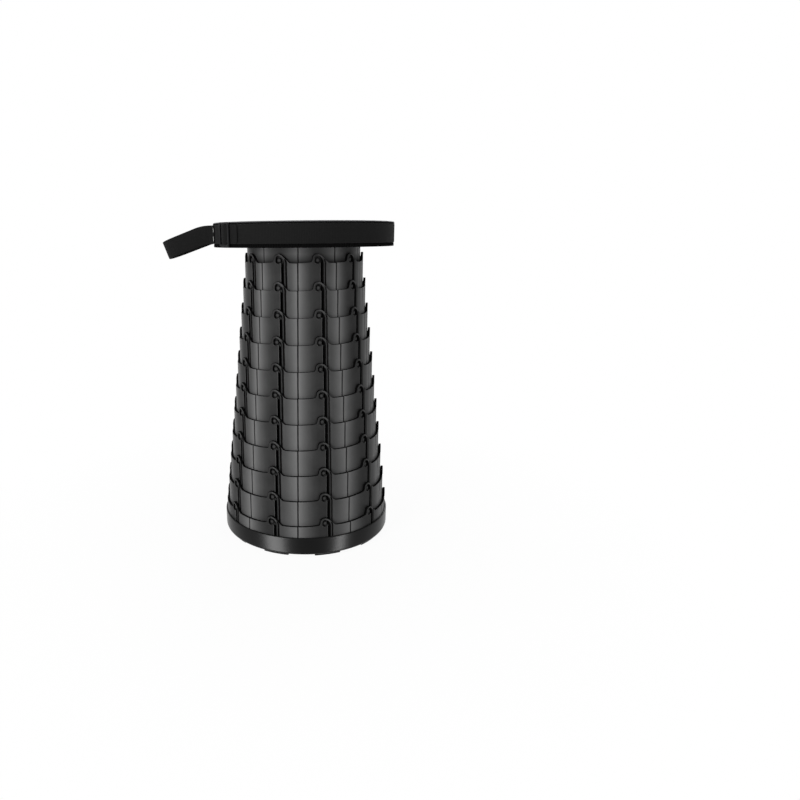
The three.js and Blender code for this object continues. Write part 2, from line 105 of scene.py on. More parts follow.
def linear(colour: str) -> tuple[float, float, float, float]:
    """Turns an sRGB hex colour into linear light: each channel is raised by the sRGB curve.

    Args:
        colour: The colour as #rrggbb.

    Returns:
        Red, green, blue and full opacity for a node's socket.
    """
    share = np.array([int(colour[i:i + 2], 16) for i in (1, 3, 5)]) / 255
    light = np.where(share <= 0.04045, share / 12.92, ((share + 0.055) / 1.055) ** 2.4)
    return (float(light[0]), float(light[1]), float(light[2]), 1.0)


def bezier(controls: Points, count: int) -> Array:
    """Points of a Bezier curve: the controls weighted by Bernstein's polynomials.

    Args:
        controls: The control points.
        count: How many points to give, both ends included.

    Returns:
        The points, one per row.
    """
    t = np.linspace(0, 1, count)[:, None]
    order = len(controls) - 1
    weights = [math.comb(order, i) * t ** i * (1 - t) ** (order - i) for i in range(order + 1)]
    return sum(weight * np.array(control, float) for weight, control in zip(weights, controls))


def chain(*curves: Array) -> Array:
    """Joins curves into a closed outline, without the last point of each."""
    return np.concatenate([curve[:-1] for curve in curves])


def path(*curves: Array) -> Array:
    """Joins curves end to end into an open one."""
    return np.concatenate([chain(*curves), curves[-1][-1:]])


def spread(points: Array, count: int) -> Array:
    """Points evenly spaced along a polyline, by interpolating over its running length.

    Args:
        points: The polyline, one point per row.
        count: How many points to give, both ends included.

    Returns:
        The points, one per row.
    """
    steps = np.linalg.norm(np.diff(points, axis=0), axis=1)
    length = np.concatenate([[0.0], np.cumsum(steps)])
    at = np.linspace(0, length[-1], count)
    return np.stack([np.interp(at, length, column) for column in points.T], axis=1)


def spread_round(outline: Array, count: int) -> Array:
    """Points evenly spaced along a closed outline, from its first point on."""
    return spread(np.concatenate([outline, outline[:1]]), count + 1)[:-1]


def softened(corners: Corners, steps: int = 4) -> Array:
    """A closed outline with rounded corners: each corner becomes the quadratic curve that starts and
    ends at its rounding distance along the two edges and has the corner as its control.

    Args:
        corners: Points with a rounding distance each.
        steps: Steps in each rounded corner.

    Returns:
        The outline's points, one per row, in the order of the corners.
    """
    table = np.array(corners, float)
    point = table[:, :2]
    back = np.roll(point, 1, axis=0) - point
    ahead = np.roll(point, -1, axis=0) - point
    start = point + back * (table[:, 2:] / np.linalg.norm(back, axis=1, keepdims=True))
    end = point + ahead * (table[:, 2:] / np.linalg.norm(ahead, axis=1, keepdims=True))
    t = np.linspace(0, 1, steps + 1)[None, :, None]
    arc = (1 - t) ** 2 * start[:, None] + 2 * t * (1 - t) * point[:, None] + t ** 2 * end[:, None]
    flat = arc.reshape(-1, 2)
    keep = np.linalg.norm(flat - np.roll(flat, 1, axis=0), axis=1) > WELD_STEP
    return flat[keep]


def full_turn(steps: int) -> Array:
    """Angles in radians that divide the circle evenly, from 0 on."""
    return np.linspace(0, 2 * np.pi, steps, endpoint=False)


def around(radius: Array, angle: Array, z: Array) -> Array:
    """Places in space from a radius, an angle in radians and a height: (r sin a, -r cos a, z)."""
    radius, angle, z = np.broadcast_arrays(radius, angle, z)
    return np.stack([radius * np.sin(angle), -radius * np.cos(angle), z], axis=-1)


def between(inside: Array, outside: Array, share: Array) -> Array:
    """Points on straight lines, each at its share of the way from the line's inside to its outside."""
    return inside[:, None] + (outside - inside)[:, None] * share[..., None]


def rightward(line: Array) -> Array:
    """Level unit vectors to the right of a line's course: its forward vector turned by 90 degrees.

    Args:
        line: The line, one point per row.

    Returns:
        The vectors, one per row.
    """
    forward = np.gradient(line, axis=0)
    forward /= np.linalg.norm(forward, axis=1, keepdims=True)
    return np.stack([forward[:, 1], -forward[:, 0], 0 * forward[:, 0]], axis=1)


def columns(*items: Array | float) -> Array:
    """Sets values per line, or one value for all lines, side by side."""
    return np.stack(np.broadcast_arrays(*items), axis=1)


def risen(nearness: Array, rise: Rise) -> Array:
    """A share that grows from the first number by the second times the third power of a nearness."""
    start, height, power = rise
    return start + height * nearness ** power


def grid_quads(rows: int, columns: int, wrap_rows: bool = False, wrap_columns: bool = False) -> Array:
    """Corner numbers of the cells between neighbouring rows and columns of a grid.

    Args:
        rows: Number of rows.
        columns: Number of columns, which are numbered fastest.
        wrap_rows: Whether the last row joins the first.
        wrap_columns: Whether the last column joins the first.

    Returns:
        Four corner numbers per cell.
    """
    row, column = np.meshgrid(
        np.arange(rows if wrap_rows else rows - 1),
        np.arange(columns if wrap_columns else columns - 1),
        indexing="ij",
    )
    next_row = (row + 1) % rows
    next_column = (column + 1) % columns
    corners = [row * columns + column, row * columns + next_column]
    corners += [next_row * columns + next_column, next_row * columns + column]
    return np.stack(corners, axis=-1).reshape(-1, 4)


def seamed_quads(lines: int, rows: int, seam: Array, last: int) -> Array:
    """Cells between neighbouring lines, each a closed loop. Where two neighbours both end at a seam,
    the cell past the line's outermost point is left out, so the part is open to its other half.

    Args:
        lines: Number of lines, of which the last is next to the first.
        rows: Number of points on each.
        seam: Whether each line ends at a seam.
        last: The number of the outermost point.

    Returns:
        Four corner numbers per cell.
    """
    quads = grid_quads(lines, rows, wrap_rows=True, wrap_columns=True).reshape(lines, rows, 4)
    walled = np.ones((lines, rows), bool)
    walled[:, last] = ~(seam & np.roll(seam, -1))
    return quads[walled].reshape(-1, 4)


@dataclass
class Shell:
    """One closed surface: points in millimetres, four-cornered cells and values kept per point."""

    points: Array
    quads: Array
    values: dict[str, Array] = field(default_factory=dict)

    @classmethod
    def on_grid(cls, points: Array, quads: Array, **values: Array | float) -> "Shell":
        """Makes a shell from points by line and row.

        Args:
            points: The points.
            quads: The cells.
            values: Values kept per point, by line and row, or one for all.

        Returns:
            The shell.
        """
        grid = points.shape[:-1]
        flat = {}
        for name, value in values.items():
            size = np.shape(value)[len(grid):]
            flat[name] = np.broadcast_to(value, grid + size).reshape((-1,) + size)
        return cls(points.reshape(-1, 3), quads, flat)

    def welded(self) -> "Shell":
        """Gives the shell with one point wherever several lie in the same place.

        Returns:
            The welded shell.
        """
        key = np.round(self.points / WELD_STEP).astype(np.int64)
        _, first, index = np.unique(key, axis=0, return_index=True, return_inverse=True)
        values = {name: value[first] for name, value in self.values.items()}
        return Shell(self.points[first], index.reshape(-1)[self.quads], values)

    def outward(self) -> "Shell":
        """Turns the cells round if the shell's signed volume, summed over its triangles, is negative.

        Returns:
            The shell itself.
        """
        corner = self.points[self.quads]
        first = np.einsum("ij,ij->i", corner[:, 0], np.cross(corner[:, 1], corner[:, 2])).sum()
        second = np.einsum("ij,ij->i", corner[:, 0], np.cross(corner[:, 2], corner[:, 3])).sum()
        if first + second < 0:
            self.quads = self.quads[:, ::-1]
        return self

    def turned(self, angle: float) -> "Shell":
        """Gives a copy turned about the stool's axis, from the front towards the right.

        Args:
            angle: The angle in radians.

        Returns:
            The copy.
        """
        cosine, sine = math.cos(angle), math.sin(angle)
        x, y, z = self.points.T
        points = np.stack([cosine * x - sine * y, sine * x + cosine * y, z], axis=1)
        return Shell(points, self.quads, dict(self.values))


def joined(shells: list[Shell]) -> Shell:
    """Puts several shells into one, each left closed on its own.

    Args:
        shells: The shells, which keep the same values per point.

    Returns:
        One shell that holds them all.
    """
    starts = np.cumsum([0] + [len(shell.points) for shell in shells[:-1]])
    names = shells[0].values.keys()
    return Shell(
        np.concatenate([shell.points for shell in shells]),
        np.concatenate([shell.quads + start for shell, start in zip(shells, starts)]),
        {name: np.concatenate([shell.values[name] for shell in shells]) for name in names},
    )


def lathe(profile: Array, steps: int, closed: bool = True) -> Shell:
    """Turns a profile of (radius, height) about the stool's axis: point (i, j) is profile point j at
    the angle 2 pi i / steps.

    Args:
        profile: The profile, closed on itself or with both ends on the axis.
        steps: Steps round the axis.
        closed: Whether the profile closes on itself.

    Returns:
        The turned shell.
    """
    points = around(profile[None, :, 0], full_turn(steps)[:, None], profile[None, :, 1])
    quads = grid_quads(steps, len(profile), wrap_rows=True, wrap_columns=closed)
    return Shell.on_grid(points, quads).welded().outward()


def in_scene(name: str, data: bpy.types.ID) -> bpy.types.Object:
    """Makes an object of a mesh, a lamp or a camera and links it to the scene."""
    made = bpy.data.objects.new(name, data)
    bpy.context.scene.collection.objects.link(made)
    return made


def make_mesh(name: str, shell: Shell, sharp_angle: float) -> bpy.types.Object:
    """Makes a Blender object from a shell: four-cornered cells stay, cells with two corners in one
    place become triangles, and edges sharper than an angle stay sharp.

    Args:
        name: The piece's name.
        shell: The shell in millimetres.
        sharp_angle: The angle in degrees between faces above which their edge is sharp.

    Returns:
        The object, linked to the scene, at the origin.
    """
    whole = shell.welded()
    same = whole.quads == np.roll(whole.quads, -1, axis=1)
    doubles = same.sum(axis=1)
    triangles = whole.quads[doubles == 1][~same[doubles == 1]].reshape(-1, 3)
    mesh = bpy.data.meshes.new(name)
    faces = whole.quads[doubles == 0].tolist() + triangles.tolist()
    mesh.from_pydata((whole.points * MM).tolist(), [], faces)
    for key, value in whole.values.items():
        if value.ndim == 1:
            attribute = mesh.attributes.new(key, "FLOAT", "POINT")
            attribute.data.foreach_set("value", value.astype(np.float32))
        else:
            corner = np.zeros(len(mesh.loops), np.int32)
            mesh.loops.foreach_get("vertex_index", corner)
            layer = mesh.uv_layers.new(name=key)
            layer.uv.foreach_set("vector", value[corner].astype(np.float32).ravel())
    mesh.validate()
    mesh.shade_smooth()
    mesh.set_sharp_from_angle(angle=math.radians(sharp_angle))
    return in_scene(name, mesh)


def levels(node: str) -> Span:
    """Heights in millimetres of a CAD node's lowest and highest point at rest."""
    low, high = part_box(node)
    return low.z / MM, high.z / MM


def place_piece(
    name: str, shell: Shell, material: bpy.types.Material, node: str, sharp_angle: float = 35.0
) -> None:
    """Makes a piece from a shell, dresses it and lets it stand for a node on the node's body.

    Args:
        name: The piece's name.
        shell: Its shell in millimetres.
        material: Its finish.
        node: The node that it replaces.
        sharp_angle: The angle in degrees above which an edge is sharp.
    """
    piece = make_mesh(name, shell, sharp_angle)
    piece.data.materials.append(material)
    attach(piece, BODY_OF[node])
    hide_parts(node)
    LOG.info("%s: %d faces", name, len(piece.data.polygons))


def add_node(tree: bpy.types.NodeTree, kind: str, settings: dict, links: dict) -> bpy.types.Node:
    """Adds one node to a material.

    Args:
        tree: The material's node tree.
        kind: The node's type.
        settings: Values by the name or number of an input, or by the name of a property.
        links: Output sockets by the name or number of the input that they feed.

    Returns:
        The node.
    """
    node = tree.nodes.new(kind)
    for key, value in settings.items():
        if isinstance(key, int) or key in node.inputs:
            node.inputs[key].default_value = value
        else:
            setattr(node, key, value)
    for key, source in links.items():
        tree.links.new(source, node.inputs[key])
    return node


def start_material(name: str) -> tuple[bpy.types.Material, bpy.types.NodeTree, bpy.types.Node]:
    """Starts a material.

    Args:
        name: The material's name.

    Returns:
        The material, its node tree and its shader.
    """
    made = bpy.data.materials.new(name)
    made.use_nodes = True
    return made, made.node_tree, made.node_tree.nodes["Principled BSDF"]


class Grain(Enum):
    """How the surface of a moulding was left by its mould."""

    SATIN = "fine spark-eroded grain"
    PEBBLE = "coarse etched grain"
    POLISHED = "polished steel"


@dataclass(frozen=True)
class Moulding:
    """Injection moulded plastic or rubber. The mould's grain breaks highlights into a soft sheen. A
    painted highlight makes parts paler and smoother, and painted shade makes recesses, edges and
    hidden faces dull and dark. The grain is drawn about ten times as coarse as a real one, so that it
    shows."""

    name: str
    colour: str
    # The paler colour is a painted highlight, mixed in by the share of painted highlight.
    rubbed_colour: str
    roughness: float
    rubbed_roughness: float
    grain: Grain
    grain_size: float
    grain_depth: float
    gloss_level: float = 0.08
    cloudiness: float = 0.1
    cloud_size: float = 28.0
    # Colour of the painted shade in recesses, on edges and on hidden faces.
    recess_colour: str = "#060606"
    ior: float = 1.49

    def material(self) -> bpy.types.Material:
        """Builds the material: colour and roughness follow a painted highlight kept per point and a cloudy
        noise, a painted shade kept per point darkens and dulls, and the grain is a noise of the given size
        in millimetres as bump.

        Returns:
            The material.
        """
        made, tree, shader = start_material(self.name)
        place = add_node(tree, "ShaderNodeTexCoord", {}, {}).outputs["Object"]
        # Share of painted highlight per point.
        rub = add_node(tree, "ShaderNodeAttribute", {"attribute_name": "rub"}, {}).outputs["Fac"]
        # Share of painted shade per point.
        recess = add_node(tree, "ShaderNodeAttribute", {"attribute_name": "recess"}, {}).outputs["Fac"]
        clouds = add_node(
            tree,
            "ShaderNodeTexNoise",
            {"Scale": 1 / (self.cloud_size * MM), "Detail": 3.0},
            {"Vector": place},
        )
        uneven = add_node(
            tree,
            "ShaderNodeMapRange",
            {1: 0.35, 2: 0.65, 3: -self.cloudiness, 4: self.cloudiness},
            {0: clouds.outputs[0]},
        )
        sheen_and_clouds = add_node(
            tree, "ShaderNodeMath", {"operation": "ADD", "use_clamp": True}, {0: rub, 1: uneven.outputs[0]}
        )
        tint = add_node(
            tree,
            "ShaderNodeMix",
            {"data_type": "RGBA", 6: linear(self.colour), 7: linear(self.rubbed_colour)},
            {0: sheen_and_clouds.outputs[0]},
        )
        # Mixes the painted shade's dark colour over the tint.
        shaded = add_node(
            tree,
            "ShaderNodeMix",
            {"data_type": "RGBA", 7: linear(self.recess_colour)},
            {0: recess, 6: tint.outputs[2]},
        )
        gloss = add_node(
            tree,
            "ShaderNodeMapRange",
            {1: 0.0, 2: 1.0, 3: self.roughness, 4: self.rubbed_roughness},
            {0: sheen_and_clouds.outputs[0]},
        )
        dull = add_node(
            tree, "ShaderNodeMix", {"data_type": "FLOAT", 3: 1.0}, {0: recess, 2: gloss.outputs[0]}
        )
        sharpness = 0.5 if self.grain is Grain.PEBBLE else 0.75
        texture = add_node(
            tree,
            "ShaderNodeTexNoise",
            {"Scale": 1 / (self.grain_size * MM), "Detail": 2.0, "Roughness": sharpness},
            {"Vector": place},
        )
        bump = add_node(
            tree,
            "ShaderNodeBump",
            {"Strength": 1.0, "Distance": self.grain_depth * MM},
            {"Height": texture.outputs[0]},
        )
        tree.links.new(shaded.outputs[2], shader.inputs["Base Color"])
        tree.links.new(dull.outputs[0], shader.inputs["Roughness"])
        tree.links.new(bump.outputs[0], shader.inputs["Normal"])
        shader.inputs["IOR"].default_value = self.ior
        shader.inputs["Specular IOR Level"].default_value = self.gloss_level
        return made


@dataclass(frozen=True)
class Webbing:
    """Polypropylene webbing, woven from dull multifilament yarn. The eye sees fine ribs across its
    width and, within each, the bundles of the warp, with hardly any gloss."""

    name: str
    colour: str
    gap_shade_colour: str
    roughness: float = 0.82
    yarn_width: float = 1.0
    rib_width: float = 2.0
    thread_depth: float = 0.16
    gloss_level: float = 0.12
    sheen: float = 0.02
    sheen_roughness: float = 0.5

    def material(self) -> bpy.types.Material:
        """Builds the material on the map named weave, in millimetres along and across the webbing.
        The height of a thread is the product of the sines over rib and yarn, shifted by half a yarn
        from rib to rib, and the gaps between threads take a darker colour as painted shade.

        Returns:
            The material.
        """
        made, tree, shader = start_material(self.name)
        weave = add_node(tree, "ShaderNodeUVMap", {"uv_map": "weave"}, {}).outputs[0]
        split = add_node(tree, "ShaderNodeSeparateXYZ", {}, {0: weave}).outputs
        kind = "ShaderNodeMath"
        rib = add_node(tree, kind, {"operation": "DIVIDE", 1: self.rib_width}, {0: split[0]}).outputs[0]
        yarn = add_node(tree, kind, {"operation": "DIVIDE", 1: self.yarn_width}, {0: split[1]}).outputs[0]
        row = add_node(tree, kind, {"operation": "FLOOR"}, {0: rib}).outputs[0]
        shift = add_node(tree, kind, {"operation": "MULTIPLY", 1: 0.5}, {0: row}).outputs[0]
        set_over = add_node(tree, kind, {"operation": "ADD"}, {0: yarn, 1: shift}).outputs[0]
        humps = {0: self.hump(tree, rib), 1: self.hump(tree, set_over)}
        thread = add_node(tree, kind, {"operation": "MULTIPLY"}, humps).outputs[0]
        # Painted shade: the gaps between threads take the darker colour.
        tint = add_node(
            tree,
            "ShaderNodeMix",
            {"data_type": "RGBA", 6: linear(self.gap_shade_colour), 7: linear(self.colour)},
            {0: thread},
        )
        bump = add_node(
            tree, "ShaderNodeBump", {"Strength": 1.0, "Distance": self.thread_depth * MM}, {"Height": thread}
        )
        tree.links.new(tint.outputs[2], shader.inputs["Base Color"])
        tree.links.new(bump.outputs[0], shader.inputs["Normal"])
        shader.inputs["Roughness"].default_value = self.roughness
        shader.inputs["Specular IOR Level"].default_value = self.gloss_level
        shader.inputs["Sheen Weight"].default_value = self.sheen
        shader.inputs["Sheen Roughness"].default_value = self.sheen_roughness
        return made

    def hump(self, tree: bpy.types.NodeTree, step: bpy.types.NodeSocket) -> bpy.types.NodeSocket:
        """Adds the size of a sine that rises and falls once for each whole number of its input.

        Args:
            tree: The material's node tree.
            step: The input.

        Returns:
            The socket that gives the size.
        """
        turn = add_node(tree, "ShaderNodeMath", {"operation": "MULTIPLY", 1: math.pi}, {0: step})
        wave = add_node(tree, "ShaderNodeMath", {"operation": "SINE"}, {0: turn.outputs[0]})
        return add_node(tree, "ShaderNodeMath", {"operation": "ABSOLUTE"}, {0: wave.outputs[0]}).outputs[0]


@dataclass(frozen=True)
class Metal:
    """Steel with bright zinc plating. The plating is a little cloudy, so highlights spread."""

    name: str
    colour: str
    roughness: float = 0.32
    unevenness: float = 0.08
    cloud_size: float = 1.5

    def material(self) -> bpy.types.Material:
        """Builds the material: full metal whose roughness wanders with a noise of the cloud's size.

        Returns:
            The material.
        """
        made, tree, shader = start_material(self.name)
        place = add_node(tree, "ShaderNodeTexCoord", {}, {}).outputs["Object"]
        scale = 1 / (self.cloud_size * MM)
        cloud = add_node(tree, "ShaderNodeTexNoise", {"Scale": scale}, {"Vector": place})
        rough = add_node(
            tree,
            "ShaderNodeMapRange",
            {1: 0.3, 2: 0.7, 3: self.roughness - self.unevenness, 4: self.roughness + self.unevenness},
            {0: cloud.outputs[0]},
        )
        tree.links.new(rough.outputs[0], shader.inputs["Roughness"])
        shader.inputs["Base Color"].default_value = linear(self.colour)
        shader.inputs["Metallic"].default_value = 1.0
        return made


@dataclass(frozen=True)
class RingSizes:
    """Sizes of the nested rings, of which each slides out of the next larger one."""

    count: int = 12
    hooks: int = 10
    hook_phase: float = math.radians(12.9)
    top_radius: float = 78.6
    wall: float = 2.8
    clearance: float = 0.98
    lug_height: float = 11.7
    peg_rise: float = 7.0
    peg_radius: float = 3.1
    peg_height: float = 2.6
    peg_dome: float = 0.25
    peg_root: float = 0.5
    channel_skin: float = 0.9
    channel_left: float = -4.1
    hoop: float = 3.5

    def radius(self, number: int) -> float:
        """Outer radius of a ring, counted from the top."""
        return self.top_radius + (number - 1) * (self.wall + self.clearance)

    def unit(self, number: int) -> float:
        """Length of a ring's wall from one panel's middle to the next, unrolled."""
        return self.radius(number) * 2 * math.pi / self.hooks

    def turns(self) -> Array:
        """Angles in radians from the first hook to each hook."""
        return np.arange(self.hooks) * 2 * math.pi / self.hooks


@dataclass(frozen=True)
class HookOutline:
    """One hook, unrolled and seen from outside: x from the middle of the peg's pocket, z from the
    ring's main top edge. The opening is a pocket that leads over a nose into an upright slot."""

    shoulder: Points = ((7.4, -1.0), (7.3, 2.8), (5.7, 6.7), (2.4, 8.5))
    roof: Points = ((2.4, 8.5), (0.4, 9.6), (-3.4, 9.4), (-3.9, 5.2))
    pocket_side: Points = ((-3.9, 5.2), (-3.9, 2.9))
    pocket_corner: Points = ((-3.9, 2.9), (-3.9, 1.4), (-3.3, 0.3))
    floor: Points = ((-3.3, 0.3), (-2.3, -1.1), (1.3, -1.1), (2.4, 0.2))
    nose: Points = ((2.4, 0.2), (2.9, 0.8), (3.65, 0.5), (3.65, -0.9))
    slot_left: float = 3.65
    slot_right: float = 7.4
    slot_corner: float = 1.6
    knee_share: float = 0.2
    arch_right: Points = ((17.2, 0.0), (12.6, 0.2), (8.6, 9.9), (1.0, 11.75))
    arch_crown: Points = ((1.0, 11.75), (-2.6, 12.4), (-6.9, 10.9), (-7.3, 6.0))
    arch_left: Points = ((-7.3, 6.0), (-7.7, 2.2), (-8.7, 0.0), (-11.4, 0.0))


@dataclass(frozen=True)
class RingRelief:
    """Relief of a ring's outer face: a rim strip and a trench right of the opening, a bead left of it,
    crowned panels and a groove between units. The crown starts at its distances from the pocket. On
    a short line, rounding, strip, trench and slope end at their shares of its length. The trench
    comes in, and the strip goes on over the wall, where a line is as long or as short as their gaps
    say."""

    edge_round: float = 0.6
    edge_share: float = 0.14
    rim_width: float = 1.9
    rim_height: float = 0.4
    bead_width: float = 1.1
    bead_height: float = 0.3
    trench_wall: float = 0.25
    trench_floor: float = 1.2
    trench_slope: float = 1.5
    trench_depth: float = 1.3
    step_shares: tuple[float, float, float, float] = (0.55, 0.62, 0.74, 0.84)
    trench_gap: float = 3.2
    trench_fade: float = 1.2
    strip_gap: float = 5.2
    strip_fade: float = 1.6
    crown_height: float = 0.62
    crown_start_right: float = 14.0
    crown_start_left: float = 4.0
    lug_foot: float = 0.2
    lug_crown: float = 0.3
    line_fade: float = 0.45
    line_share: float = 0.1
    seam_half: float = 0.9
    seam_depth: float = 1.1
    seam_knee: float = 0.4
    seam_slope: float = 0.8
    slot_taper: float = 2.2


@dataclass(frozen=True)
class RingPaintedLight:
    """How much painted highlight and painted shade a ring's face gets, as shares. The painted
    highlight rises from a hook to the middle of a panel, on the hook's right, on its left and on the
    top ring; the bead beside the opening and each peg's dome get a painted highlight too. Painted
    shade falls off from a peg's foot, and it covers the ring's foot up to a height in millimetres."""

    right: Rise = (0.25, 0.6, 1.5)
    left: Rise = (0.09, 0.76, 2.1)
    top_ring: Rise = (0.2, 0.65, 2)
    bead: float = 0.5
    peg: float = 0.2
    peg_shade: Span = (3.0, 4.5)
    edge_shade: float = 0.9
    rim_shade: float = 0.45
    seam_shade: float = 0.6
    shaded_foot_height: float = 1.5


class Stretch(IntEnum):
    """The stretches of an opening's outline, anticlockwise from the foot of the slot."""

    FOOT = 0
    SIDE = 1
    KNEE = 2
    SHOULDER = 3
    ROOF = 4
    POCKET = 5
    LEFT = 6
    TOE = 7


@dataclass
class RingStack:
    """The eleven rings below the top one, with their hooks, slots and pegs. The counts are the points
    on each stretch of the opening's outline and of the border that faces it."""

    finish: Moulding
    sizes: RingSizes = RingSizes()
    outline: HookOutline = HookOutline()
    relief: RingRelief = RingRelief()
    painted_light: RingPaintedLight = RingPaintedLight()
    counts: tuple[int, ...] = (14, 27, 6, 16, 17, 7, 27, 14)
    left_counts: tuple[int, int, int] = (10, 9, 10)
    foot_counts: tuple[int, int] = (8, 6)
    panel_rows: int = 4
    peg_steps: int = 20
    dome_steps: int = 6
    channel_step: float = 0.02
    channel_end: float = 0.93
    channel_touch: float = 0.01
    channel_gap: float = 0.1
    plain_share: float = 0.3
    heel_start: float = -1.2

    def opening(self, low: float) -> list[Array]:
        """The opening's outline, stretch by stretch.

        Args:
            low: Height of the ring's lower edge from the main top edge.

        Returns:
            One array of points per stretch.
        """
        shape = self.outline
        foot = low + self.sizes.hoop
        left, right, corner = shape.slot_left, shape.slot_right, shape.slot_corner
        sole = ((left + corner, foot), (right - corner, foot))
        heel = ((right - corner, foot), (right, foot), (right, foot + corner))
        toe = ((left, foot + corner), (left, foot), (left + corner, foot))
        knee = foot * shape.knee_share
        curves = [
            path(bezier(sole, 8), bezier(heel, 6)),
            np.array([(right, foot + corner), (right, knee)]),
            np.array([(right, knee), shape.shoulder[0]]),
            bezier(shape.shoulder, 40),
            path(bezier(shape.roof, 30), np.array(shape.pocket_side)),
            bezier(shape.pocket_corner, 20),
        ]
        stretches = [spread(curve, count) for curve, count in zip(curves, self.counts)]
        return stretches + [self.left_side(foot + corner), spread(bezier(toe, 12), self.counts[-1])]

    def left_side(self, foot: float) -> Array:
        """The pocket's floor, the nose and the slot's left side, with most points on floor and nose.

        Args:
            foot: Height of the slot's lower end.

        Returns:
            The points, one per row.
        """
        shape = self.outline
        straight = np.array([shape.nose[-1], (shape.slot_left, foot)])
        curves = (bezier(shape.floor, 30), bezier(shape.nose, 30), straight)
        return path(*(spread(curve, count) for curve, count in zip(curves, self.left_counts)))

    def border(self, low: float, half: float) -> list[Array]:
        """The unit's border in stretches that face those of the opening.

        Args:
            low: Height of the ring's lower edge from the main top edge.
            half: Half the unit's length.

        Returns:
            One array of points per stretch.
        """
        shape = self.outline
        start = shape.slot_left + shape.slot_corner
        curves = [
            np.array([(start, low), (half, low)]),
            np.array([(half, low), (half, 0)]),
            np.array([(half, 0), shape.arch_right[0]]),
            bezier(shape.arch_right, 60),
            path(bezier(shape.arch_crown, 30), bezier(shape.arch_left, 30)),
            np.array([shape.arch_left[-1], (-half, 0)]),
            np.array([(-half, 0), (-half, low)]),
        ]
        channel = self.sizes.channel_left
        end = channel - self.channel_gap
        foot = [np.array([(-half, low), (end, low)]), np.array([(channel, low), (start, low)])]
        stretches = [spread(curve, count) for curve, count in zip(curves, self.counts)]
        feet = [spread(curve, count) for curve, count in zip(foot, self.foot_counts)]
        return stretches + [np.concatenate(feet)]

    def edge(self, gap: Array) -> Array:
        """Size of the rounding at both ends of lines of these lengths."""
        return np.minimum(self.relief.edge_round, self.relief.edge_share * gap)

    def unit_shell(self, number: int, low: float, high: float) -> Shell:
        """One unit of a ring. Line i runs straight from the opening's point i to the border's point i;
        row j lies at a fixed distance from either end, or at a share of the line between. Rows of the
        inner face follow at the wall's depth, so each line is one closed loop.

        Args:
            number: The ring's number from the top.
            low: Height of the ring's lower edge.
            high: Height of its main top edge.

        Returns:
            The unit, turned to the first hook's place.
        """
        size, relief = self.sizes, self.relief
        half, foot = size.unit(number) / 2, low - high
        stretches = self.opening(foot)
        inside = chain(*stretches)
        outside = chain(*self.border(foot, half))
        kind = np.repeat(list(Stretch), [len(stretch) - 1 for stretch in stretches])
        gap = np.linalg.norm(outside - inside, axis=1)
        seam = np.isclose(np.abs(outside[:, 0]), half)
        trenched = np.isin(kind, (Stretch.SIDE, Stretch.KNEE, Stretch.SHOULDER))
        trench = trenched * np.clip((gap - relief.trench_gap) / relief.trench_fade, 0, 1)
        distance = self.distances(gap, kind, seam)
        place = between(inside, outside, distance / gap[:, None])
        height = self.heights(place, gap, kind, seam, trench, half)
        # Painted highlight, rising towards each panel's middle.
        rub = self.painted_sheen_share(place[..., 0], kind, half)
        # Painted shade on edges, in the trench, in the groove and on the covered foot.
        recess = self.painted_shade_share(place[..., 1], foot, trench, seam)
        inner, depth = self.inner_rows(inside, outside, kind)
        x, z = np.moveaxis(np.concatenate([place, inner], axis=1), 2, 0)
        height = np.concatenate([height, -depth], axis=1)
        rub = np.concatenate([rub, 0 * depth], axis=1)
        # The inner face is wholly painted dark as shade.
        recess = np.concatenate([recess, 0 * depth + 1], axis=1)
        radius = size.radius(number)
        points = around(radius + height, size.hook_phase + x / radius, high + z)
        quads = seamed_quads(*x.shape, seam, distance.shape[1] - 1)
        return Shell.on_grid(points, quads, rub=rub, recess=recess)

    def distances(self, gap: Array, kind: Array, seam: Array) -> Array:
        """Distances of a line's rows from the opening: rounding, rim or bead, both sides of the
        trench's floor, the panel's start, steps across it, the dark edge and the far rounding.

        Args:
            gap: The lines' lengths.
            kind: The stretch that each line belongs to.
            seam: Whether each line ends between two units.

        Returns:
            The distances, one line per row.
        """
        relief = self.relief
        rim_share, wall_share, floor_share, slope_share = relief.step_shares
        near = self.edge(gap)
        far = np.where(seam, relief.seam_half, near)
        rim = np.where(kind == Stretch.LEFT, relief.bead_width, relief.rim_width)
        rim = np.minimum(rim, rim_share * gap)
        floor_start = np.minimum(rim + relief.trench_wall, wall_share * gap)
        floor_end = np.minimum(floor_start + relief.trench_floor, floor_share * gap)
        panel = np.minimum(floor_end + relief.trench_slope, slope_share * gap)
        width = gap - far - panel
        steps = panel[:, None] + width[:, None] * np.linspace(0, 1, self.panel_rows + 2)[1:-1]
        line_end = gap - far - np.minimum(relief.line_fade, relief.line_share * width)
        return np.column_stack([
            0 * gap, KNEE * near, near, rim, floor_start, floor_end, panel, steps, line_end,
            gap - far, gap - relief.seam_knee * far, gap,
        ])

